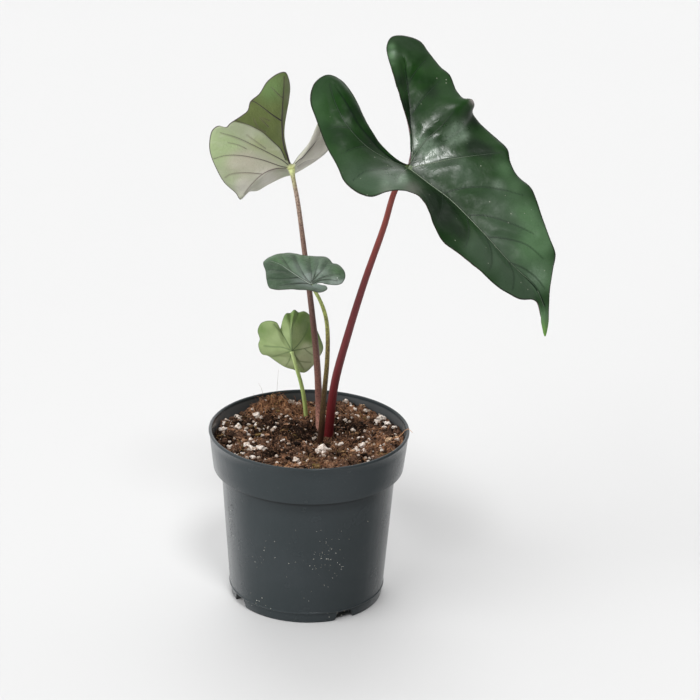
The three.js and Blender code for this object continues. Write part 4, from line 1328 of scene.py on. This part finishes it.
# The tall leaf: it stands behind with its pale, matt underside to the front.
# It is folded along a side vein, so that its near lobe stands up olive green over the pale lower half,
# and its dark purple-brown veins fan out from the yellow-green joint.
tall_leaf = {
    "joint": (-13, 10, 265.2),
    "seen": "under",
    "midrib": [(-5, 0.5, 1), (-10, -0.5, 2), (-15.5, -4, 3), (-21.5, -9, 2), (-26.5, -14, -1)],
    "left_rib": [(-3.5, 6, 3), (-5.5, 15.5, 8), (-6, 30.5, 15), (-5.5, 42, 19)],
    "right_rib": [(5.5, 6.5, -2), (11.5, 13.5, -6), (16.5, 22.5, -11)],
    "tip": (-29.5, -18, -5),
    "tip_to_left": [
        (-32, -14.5, -2), (-38.5, -9, 4), (-43, -1.5, 8), (-46.5, 7, 12), (-47, 13, 14), (-45.5, 20, 15),
    ],
    "left_shoulder": (-42, 22.5, 16),
    "left_outer": [
        (-37.5, 22, 15), (-35.5, 24, 16), (-29.5, 28, 18), (-25.5, 31.5, 18), (-24, 36.5, 19), (-19, 41, 20),
        (-14.5, 48, 22), (-8.5, 52.5, 23),
    ],
    "left_lobe": (-4.5, 53.5, 22),
    "left_inner": [
        (-2.5, 50.5, 19), (-1.5, 44, 14), (-3, 35.5, 11), (-4.5, 27, 9), (-4.5, 18.5, 6), (-2.5, 9, 2),
    ],
    "sinus": (0, 2.8, 0),
    "right_inner": [(3.5, 7.5, -4), (10, 16.5, -8), (13.5, 25.5, -11), (16.5, 32, -13)],
    "right_lobe": (20.5, 35.5, -14),
    "right_outer": [(25, 32.5, -15), (25.5, 23.5, -20), (20.5, 13.5, -28), (14, 8, -34)],
    "right_shoulder": (6, 3, -37),
    "right_to_tip": [
        (0, -0.5, -37), (-5.5, -2.5, -34), (-10, -5, -31), (-15, -8, -28), (-20, -11.5, -22), (-25, -13, -13),
    ],
    "veins": [
        (0.62, 0.2, 0, [(-1.3, 3), (-2.5, 6.5), (-5, 13.5), (-6, 26.5), (-5.7, 35), (-5.2, 44), (-5, 51)]),
        (0.28, 0.4, 0.8, [(-3, 0.5), (-9, 0), (-16.5, -3.5), (-22.5, -9), (-27, -14.5)]),
        (0.28, 0, 0, [(-3.5, 5), (-6.5, 11), (-11.5, 15.5), (-17, 20), (-24.5, 23.5), (-32.5, 26)]),
        (0.24, 0, 0.3, [(-2, 2.2), (-5, 4.5), (-12, 8), (-22, 12.5), (-31.5, 16.5), (-41, 19)]),
        (0.23, 0.1, 0.3, [(-2.5, 0.9), (-6.5, 1.5), (-17, 4.5), (-30, 6.5), (-38.5, 6), (-44.5, 4)]),
        (0.26, 0, 0, [(2.2, 3), (5.5, 6.5), (10.5, 12.5), (15, 19.5), (18, 27.5)]),
        (0.42, 0, 0, [(-6, 26.5), (-11, 29.5), (-16, 33), (-20.5, 36), (-23, 37)]),
        (0.13, 0, 0.4, [(-13.5, 23), (-16, 25.5), (-18.5, 28)]),
        (0.1, 0, 0.5, [(-13, 26.5), (-17, 28)]),
        (0.09, 0.4, 0.9, [(-15, 11), (-20, 14.5), (-26, 18.5)]),
        (0.09, 0.4, 0.9, [(-26, 10.5), (-31, 12.5), (-37, 13.5)]),
        (0.15, 0, 0.4, [(-5.5, 39), (-8.5, 41.5), (-12, 45)]),
        (0.15, 0.5, 0.8, [(-17, -3.5), (-27, -3), (-34.5, -4), (-38, -6)]),
        (0.16, 0.2, 0.4, [(3, 2.2), (7.5, 5.5), (14, 8.5), (20, 13.5)]),
        (0.1, 0.3, 0.9, [(-15, 20), (-19, 22), (-22, 27)]),
    ],
    "fold": [
        (30, 60), (0, 60), (-0.6, 3), (-3.5, 5), (-6.5, 11), (-11.5, 15.5), (-17, 20), (-24.5, 23.5),
        (-32.5, 25), (-37.5, 24), (-48, 28),
    ],
    "washes": {
        "green": [
            (-42, 8, 10, 0.9), (-35, 13, 8, 0.5), (-41, 18, 6, 0.6), (-33, -8, 7, 0.5), (-20, 15, 6, 0.5),
        ],
        "yellow": [(-21, 14, 5, 0.9), (-13, 10, 5, 0.5), (-8, 7, 4, 0.5)],
        "pink": [(-24, 3, 8, 0.8), (-33, 2, 7, 0.6), (-12, -2, 8, 0.6), (-26, -8, 6, 0.5)],
        "pale": [
            (-27, -12, 7, 0.8), (-14, -7, 7, 1), (12, 8, 9, 1), (20, 18, 6, 0.8), (-24, 19, 8, 0.4),
            (6, 2, 5, 1), (14, 20, 8, 0.8),
        ],
        "fresh": [(-10, 46, 9, 0.8), (-15, 42, 5, 0.4)],
        "strip": [(-2.5, 20, 4, 1), (-3, 30, 3.2, 1), (-2, 40, 3.5, 1), (-3, 48, 3, 0.7), (9, 15, 4, 0.8)],
    },
    "calm": 0,
    "eased": [],
    "side_stations": 80,
    "lobe_stations": 56,
    "crown": -0.8,
    "quilt": -0.6,
    "hollow": 4,
    "wrinkle": 0.5,
}

pale_under = Finish("pale_leaf_underside", 0.55, 0.35)
skin = pale_under.patchy(40, (0.31, 0.35, 0.215), (0.35, 0.37, 0.265))
skin = in_washes(
    pale_under, skin, pale_under.fade(pale_under.mottle(90, 3), 0.3, 0.65, 0.6, 1),
    ("green", 0.85, (0.36, 0.46, 0.23)), ("yellow", 0.8, (0.29, 0.33, 0.15)),
    ("pink", 0.85, (0.47, 0.44, 0.35)), ("pale", 0.9, (0.6, 0.58, 0.51)),
)
streaks = pale_under.streaks((90, 90, 260), 4, 0.6)
skin = pale_under.laid(skin, (0.58, 0.59, 0.46), streaks, 0.5, 0.75, 0, 0.3)
olive = pale_under.blended(pale_under.mottle(80, 4, 0.6), (0.06, 0.085, 0.022), (0.15, 0.185, 0.055))
olive = pale_under.blended("fresh", olive, (0.13, 0.21, 0.07))
olive = pale_under.blended("strip", olive, (0.15, 0.17, 0.08))
skin = pale_under.laid(skin, olive, "over_fold", -0.4 * MM, 0.5 * MM)
# Painted shadow: a darker band beside each vein; the margin line and the yellow joint are the leaf's own
# colour.
skin = in_bands(
    pale_under, skin, ("near_vein", 0.2, 0.9, 0.3, (0.12, 0.09, 0.07)),
    ("to_margin", 0.3, 0.8, 0.9, (0.07, 0.055, 0.055)), ("from_joint", 1.2, 4, 0.95, (0.7, 0.73, 0.34)),
)
pale_under.colour(skin)
pale_under.unevenly_rough(200, 0.5, 0.66)
pale_under.relief(
    (pale_under.mottle(110, 3), 0.0005), (pale_under.mottle(320, 4, 0.6, None, 1), 0.0004),
    (pale_under.mottle(900, 4), 0.00015),
)

tall_edge = edge_finish("purple_leaf_edge", (0.05, 0.035, 0.04), (0.09, 0.065, 0.065))
dark_vein = vein_finish("dark_purple_vein", (0.018, 0.01, 0.012), (0.16, 0.1, 0.1))
make_leaf(
    "leaf_tall", tall_leaf, [glossy_green, pale_under, tall_edge], dark_vein, pale_vein, "blade_tall",
)


# The small leaf: dark grey-green and waxy, held nearly level, with its tip to the left.
# Creases fan out from its joint and its midrib is pale; its front edge and the ridges by the joint carry
# painted highlights, and the creases and the half below the midrib carry painted shade.
small_leaf = {
    "joint": (0, -25, 206.6),
    "seen": "upper",
    "midrib": [(-4.5, 2.5, -2), (-11.5, 7.5, -7), (-19, 12, -12), (-24, 13.5, -15)],
    "left_rib": [(3, -1.5, 3), (6, -1.5, 4.5)],
    "right_rib": [(4, 3, -3), (9, 5, -5.5), (14, 6, -7)],
    "tip": (-28, 13, -16),
    "tip_to_left": [(-26.5, 8, -9), (-25.5, 2.5, -1), (-23.5, -2, 5), (-19.5, -3, 9), (-12, -2.5, 12.5)],
    "left_shoulder": (-4, -2.5, 14),
    "left_outer": [(0.5, -2.7, 13.5), (4, -3.5, 12), (7.5, -3, 9.5)],
    "left_lobe": (9.5, -1.5, 7),
    "left_inner": [(8.5, 0, 4.5), (5.5, 0.8, 1.5)],
    "sinus": (2.8, 1.2, -0.5),
    "right_inner": [(6, 2, -1.5), (9.5, 1.2, -2), (14, 0.7, -3), (17.5, 1.7, -4.5)],
    "right_lobe": (19.5, 5.5, -8),
    "right_outer": [
        (18.5, 9.5, -11.5), (15, 13, -15), (12, 13.7, -15.5), (10.5, 15.5, -17.5), (8, 17.5, -20),
    ],
    "right_shoulder": (1, 18, -22),
    "right_to_tip": [(-6.5, 18.5, -23), (-13.5, 19.5, -24), (-20.5, 18.5, -22), (-25.5, 16, -19)],
    "veins": [
        (0.3, 1, 0.8, [(0, 0.5), (-4.5, 3), (-11.5, 7.5), (-18.5, 12), (-24, 14)]),
        (0.16, 0.7, 0.1, [(0, 0.5), (-4, 5), (-7.5, 11), (-10, 16.5)]),
        (0.15, 0.7, 0.1, [(0, 0.5), (0, 5.5), (-1, 11.5), (-1.5, 16)]),
        (0.15, 0.6, 0.2, [(0, 0.5), (3.5, 5.5), (6.5, 9), (9, 13.5)]),
        (0.15, 0.6, 0.3, [(0, 0.5), (5, 4), (10.5, 6), (16.5, 7)]),
        (0.13, 0.2, 0, [(-7, 4.5), (-12, 3.5), (-18.5, 3), (-23.5, 3.5)]),
        (0.13, 0.2, 0, [(-1.5, 1), (-6.5, 0.5), (-12, -0.3), (-17, -1)]),
        (0.12, 0.2, 0, [(-11.5, 7.5), (-15, 12.5), (-18, 16.5)]),
        (0.12, 0.4, 0, [(0, 0.5), (1.8, 5), (3, 9.5), (4, 14)]),
        (0.12, 0.4, 0.1, [(0, 0.5), (5.5, 3), (10.5, 3.5), (15, 3)]),
        (0.12, 0.1, 0, [(-11.5, 7.5), (-17, 8), (-24, 8.5)]),
    ],
    "fold": [(0, 0.5), (-4.5, 3), (-11.5, 7.5), (-18.5, 12), (-24, 14), (-29, 13)],
    "washes": {
        # painted highlights: by the joint, between the creases and on the front edge of the right lobe
        "lit": [
            (-2, 4, 3, 1), (-6, 9, 4, 0.4), (3, 14, 4, 0.3), (13, 2.5, 3, 0.8), (8, 8, 3, 0.4),
            (-9, 12, 3, 0.3), (16, 1.5, 1.8, 1), (18.5, 3, 1.5, 0.9), (4, 8, 2, 0.6),
        ],
        "green": [(-20, 16, 5, 0.6), (15, 10, 4, 0.6), (-22, 0, 4, 0.4), (-3, 17, 5, 0.5)],
        "sheen": [(-2, 4, 3, 1), (4, 7, 4, 0.7), (11, 5, 4, 0.7), (15, 3, 3, 0.9), (8, 1, 3, 0.6)],
    },
    "calm": 0,
    "eased": [],
    "side_stations": 60,
    "lobe_stations": 40,
    "crown": 0.5,
    "quilt": 1.5,
    "hollow": 1.6,
    "wrinkle": 1,
}

waxy_green = Finish("waxy_grey_green_leaf", 0.4)
waxy = waxy_green.patchy(120, (0.062, 0.102, 0.062), (0.104, 0.155, 0.102))
waxy = waxy_green.blended("green", waxy, (0.075, 0.15, 0.06))
# Painted highlight: a pale grey-green wash.
waxy = waxy_green.laid(waxy, (0.27, 0.32, 0.29), "lit", 0, 1, 0, 0.8)
# Painted shade: the half below the midrib is darker.
waxy = in_bands(waxy_green, waxy, ("over_fold", -1, 0.2, 0.6, (0.034, 0.056, 0.034)))
waxy_net = waxy_green.cells(500, "DISTANCE_TO_EDGE")
waxy = waxy_green.laid(waxy, (0.1, 0.15, 0.11), waxy_net, 0, 0.08, 0.25, 0)
waxy = in_bands(waxy_green, waxy, ("to_margin", 0.2, 0.7, 0.6, (0.035, 0.05, 0.035)))
waxy_green.roughened(waxy_green.fade("sheen", 0, 0.9, 0.42, 0.24))
waxy_green.glossed(waxy_green.fade("sheen", 0, 0.9, 0.2, 0.6))
# Painted shadow in the creases by the joint, and painted highlight on the ridges between them.
shadow = waxy_green.product(
    waxy_green.fade("near_vein", 0.1 * MM, 0.7 * MM, 1, 0),
    waxy_green.fade("from_joint", 7 * MM, 17 * MM, 0.95, 0.3),
)
ridge_painted_highlight = waxy_green.product(
    waxy_green.fade("near_vein", 0.3 * MM, 0.8 * MM),
    waxy_green.fade("from_joint", 4 * MM, 15 * MM, 0.7, 0),
)
waxy = waxy_green.blended(ridge_painted_highlight, waxy, (0.2, 0.25, 0.225))
waxy_green.colour(waxy_green.blended(shadow, waxy, (0.012, 0.022, 0.014)))
waxy_green.relief((waxy_green.mottle(330, 3, 0.6, None, 0.6), 0.0006), (waxy_green.mottle(1200, 4), 0.0001))

small_under = Finish("small_leaf_underside", 0.55, 0.4)
dusky = small_under.patchy(60, (0.28, 0.28, 0.22), (0.2, 0.25, 0.14))
small_under.colour(in_bands(small_under, dusky, ("near_vein", 0, 2, 0.5, (0.15, 0.1, 0.09))))
small_under.unevenly_rough(200, 0.48, 0.64)
small_under.relief((small_under.mottle(160, 2), 0.0004), (small_under.mottle(1200, 4), 0.00015))

small_edge = edge_finish("grey_leaf_edge", (0.04, 0.06, 0.04), (0.09, 0.09, 0.07))
grey_vein = vein_finish("fine_grey_vein", (0.02, 0.034, 0.024), (0.32, 0.37, 0.32), 0.35)
make_leaf(
    "leaf_small", small_leaf, [waxy_green, small_under, small_edge], grey_vein, dark_vein, "blade_small",
)


# The young leaf: thin, soft and light green, scalloped where its lobes unrolled.
# Its underside faces the front behind the tall stalk, and its veins are a darker green.
young_leaf = {
    "joint": (-11.5, 24, 146.1),
    "seen": "under",
    "midrib": [(3, -4, -3.5), (5.5, -8.5, -7.5)],
    "left_rib": [(-4, 3, 0), (-8, 9, 1), (-10.5, 14, 1)],
    "right_rib": [(-0.2, 5.5, 1), (-0.8, 13, 3), (0, 19, 3.5)],
    "tip": (7.5, -12.5, -11),
    "tip_to_left": [
        (0.5, -10.7, -11), (-4, -9.5, -10.5), (-9, -6.7, -10), (-14.5, -3, -9.5), (-18.5, -1.8, -9),
    ],
    "left_shoulder": (-20.5, 3.5, -7),
    "left_outer": [(-19.7, 7, -7.5), (-21, 12, -5), (-19, 16.5, -2), (-15.5, 18, 0)],
    "left_lobe": (-12, 18, 1),
    "left_inner": [(-9.5, 17, 1)],
    "sinus": (-7.4, 13.5, -0.5),
    "right_inner": [(-6, 18.5, 1), (-4, 22.7, 3), (-1.5, 23, 1.5)],
    "right_lobe": (1, 25, 3),
    "right_outer": [(3.5, 23.5, 0.5), (6.5, 24.3, 0), (10, 22, -3), (13, 16.5, -6)],
    "right_shoulder": (16.5, 9, -8),
    "right_to_tip": [(18.5, 2.5, -10), (16.5, -2.5, -11.5), (12.5, -8.3, -12)],
    "veins": [
        (0.17, 0.4, 0.3, [(0, 0.5), (-4.5, 8), (-9.5, 14), (-11, 16)]),
        (0.17, 0.3, 0.5, [(0, 0.5), (-1, 11.5), (-1.3, 21)]),
        (0.18, 0.1, 0.4, [(0, 0.5), (4, 5), (8, 12), (9, 17)]),
        (0.17, 0.2, 0.3, [(0, 0.5), (4, -5.5), (7, -10.5)]),
        (0.14, 0.4, 0.5, [(0, 0.5), (-5.5, 2.5), (-10.5, 2.5), (-17, 3)]),
        (0.12, 0.5, 0.7, [(-0.5, 10.5), (0, 15.5), (2, 20)]),
        (0.16, 0.1, 0.3, [(0, 0.5), (7, 2), (12, 3.5), (15, 5.5)]),
        (0.14, 0.5, 0.7, [(0, 0.5), (-6.5, -1.5), (-12, -3)]),
        (0.16, 0.3, 0.6, [(0, 0.5), (-1.5, -5), (-3.5, -8.5)]),
        (0.13, 0.5, 0.7, [(4, -5.5), (8, -6), (11, -6)]),
        (0.13, 0.4, 0.6, [(7, 2), (11, -1), (15, -3)]),
    ],
    "fold": [(0, 0.5), (4, -5.5), (7, -10.5)],
    "washes": {
        "green": [
            (-19, 12, 5, 0.8), (-17, 4, 4, 0.4), (8, 20, 6, 0.8), (14, 12, 6, 0.8), (12, 5, 5, 0.7),
            (7, 10, 4, 0.4), (0, 22, 5, 0.9), (-4, 20, 4, 0.5),
        ],
        "olive": [(6, -6, 6, 1), (-6, -6, 6, 0.6), (12, -2, 6, 1), (8, 3, 3, 0.6)],
        "pale": [(-7, 10, 4, 0.8), (-2, 10, 3, 0.8), (-3, 4, 3, 0.6), (-12, 6, 4, 0.4), (-11, -4, 5, 0.9)],
    },
    "calm": 0,
    "eased": [],
    "side_stations": 50,
    "lobe_stations": 40,
    "crown": -0.4,
    "quilt": -0.3,
    "hollow": 2.4,
    "wrinkle": 0.3,
}

fresh_under = Finish("fresh_leaf_underside", 0.5, 0.4)
fresh = fresh_under.patchy(90, (0.26, 0.35, 0.14), (0.32, 0.41, 0.18))
# The olive wash is painted light: a pale wash brightening the lower part of the blade, which gets little
# light.
fresh = in_washes(
    fresh_under, fresh, fresh_under.fade(fresh_under.mottle(150, 3), 0.3, 0.65, 0.6, 1),
    ("green", 0.9, (0.13, 0.22, 0.055)), ("olive", 0.9, (0.55, 0.6, 0.36)),
    ("pale", 0.85, (0.37, 0.47, 0.22)),
)
# Painted shadow: a darker band beside each vein; the green margin line is the leaf's own colour.
fresh = in_bands(
    fresh_under, fresh,
    ("near_vein", 0.1, 0.8, 0.4, (0.08, 0.13, 0.05)), ("to_margin", 0.2, 0.8, 0.6, (0.07, 0.13, 0.05)),
)
fresh_under.colour(fresh)
fresh_under.unevenly_rough(200, 0.42, 0.6)
fresh_under.relief((fresh_under.mottle(160, 2), 0.0004), (fresh_under.mottle(1200, 4), 0.00015))

fresh_green = Finish("fresh_green_leaf", 0.4)
fresh = fresh_green.patchy(60, (0.06, 0.16, 0.035), (0.11, 0.25, 0.06))
fresh_green.colour(in_bands(fresh_green, fresh, ("near_vein", 0, 2, 0.5, (0.18, 0.33, 0.11))))
fresh_green.unevenly_rough(300, 0.32, 0.5)
fresh_green.relief((fresh_green.mottle(120, 2), 0.0004), (fresh_green.mottle(1200, 4), 0.00015))

young_edge = edge_finish("green_leaf_edge", (0.08, 0.15, 0.05), (0.16, 0.25, 0.09))
green_vein = vein_finish("green_vein", (0.07, 0.12, 0.04), (0.25, 0.36, 0.14))
make_leaf(
    "leaf_young", young_leaf, [fresh_green, fresh_under, young_edge], green_vein, green_vein, "blade_young",
)


# The studio: a plain pale floor, soft light from in front, from above behind and from the left,
# and a camera as far away and as high as the photograph's.
camera_distance = 1.5
camera_tilt = math.radians(21.82)
camera_roll = math.radians(1.38)
camera_lens = 130.9
camera_target = axis + Vector((23.27, 0, 157.54)) * MM
room_bright_side = (-0.45, 0.85, 0.1)
room_dark = 0.08
room_bright = 1.0
floor_shade = 0.645

floor_mesh = bmesh.new()
bmesh.ops.create_grid(floor_mesh, x_segments=1, y_segments=1, size=12)
floor = object_from(floor_mesh, "floor")
floor_paint = Finish("pale_floor", 0.95, 0.05)
floor_paint.colour(floor_paint.blended(floor_paint.mottle(3), (floor_shade,) * 3, (floor_shade + 0.01,) * 3))
floor.data.materials.append(floor_paint.material)


def soft_light(name, comes_from, strength, softness, mirrored):
    """A broad light from far off, softness degrees across, that glossy surfaces may mirror."""
    data = bpy.data.lights.new(name, "SUN")
    data.energy = strength
    data.angle = math.radians(softness)
    light = bpy.data.objects.new(name, data)
    light.rotation_euler = Vector(comes_from).to_track_quat("Z", "Y").to_euler()
    light.visible_glossy = mirrored
    bpy.context.scene.collection.objects.link(light)


soft_light("window_in_front", (0.14, -0.52, 0.84), 1.35, 15, True)
soft_light("light_above_behind", (-0.1, 0.7, 0.7), 0.9, 40, False)
soft_light("fill_from_left", (-0.72, -0.52, 0.46), 2.2, 60, False)

world = bpy.data.worlds.new("studio")
world.use_nodes = True
world_nodes = world.node_tree.nodes
world_links = world.node_tree.links
direction = world_nodes.new("ShaderNodeVectorMath")
direction.operation = "DOT_PRODUCT"
direction.inputs[1].default_value = room_bright_side
world_links.new(world_nodes.new("ShaderNodeTexCoord").outputs["Generated"], direction.inputs[0])
walls = world_nodes.new("ShaderNodeMapRange")
walls.interpolation_type = "SMOOTHSTEP"
walls.inputs["From Min"].default_value = -0.45
walls.inputs["From Max"].default_value = 0.6
walls.inputs["To Min"].default_value = room_dark
walls.inputs["To Max"].default_value = room_bright
world_links.new(direction.outputs["Value"], walls.inputs["Value"])
world_links.new(walls.outputs["Result"], world_nodes["Background"].inputs["Strength"])
world_nodes["Background"].inputs["Color"].default_value = (1, 1, 1, 1)
bpy.context.scene.world = world
bpy.context.scene.view_settings.view_transform = "Standard"

camera_back = Vector((0, -math.cos(camera_tilt), math.sin(camera_tilt)))
camera_up = Vector((0, math.sin(camera_tilt), math.cos(camera_tilt)))
camera_x = right * math.cos(camera_roll) + camera_up * math.sin(camera_roll)
camera_y = camera_up * math.cos(camera_roll) - right * math.sin(camera_roll)
camera_data = bpy.data.cameras.new("camera")
camera_data.lens = camera_lens
camera_data.sensor_width = 36
camera_data.clip_end = 50
camera = bpy.data.objects.new("camera", camera_data)
turn = Matrix((camera_x, camera_y, camera_back)).transposed()
camera.matrix_world = Matrix.Translation(camera_target + camera_back * camera_distance) @ turn.to_4x4()
bpy.context.scene.collection.objects.link(camera)
bpy.context.scene.camera = camera
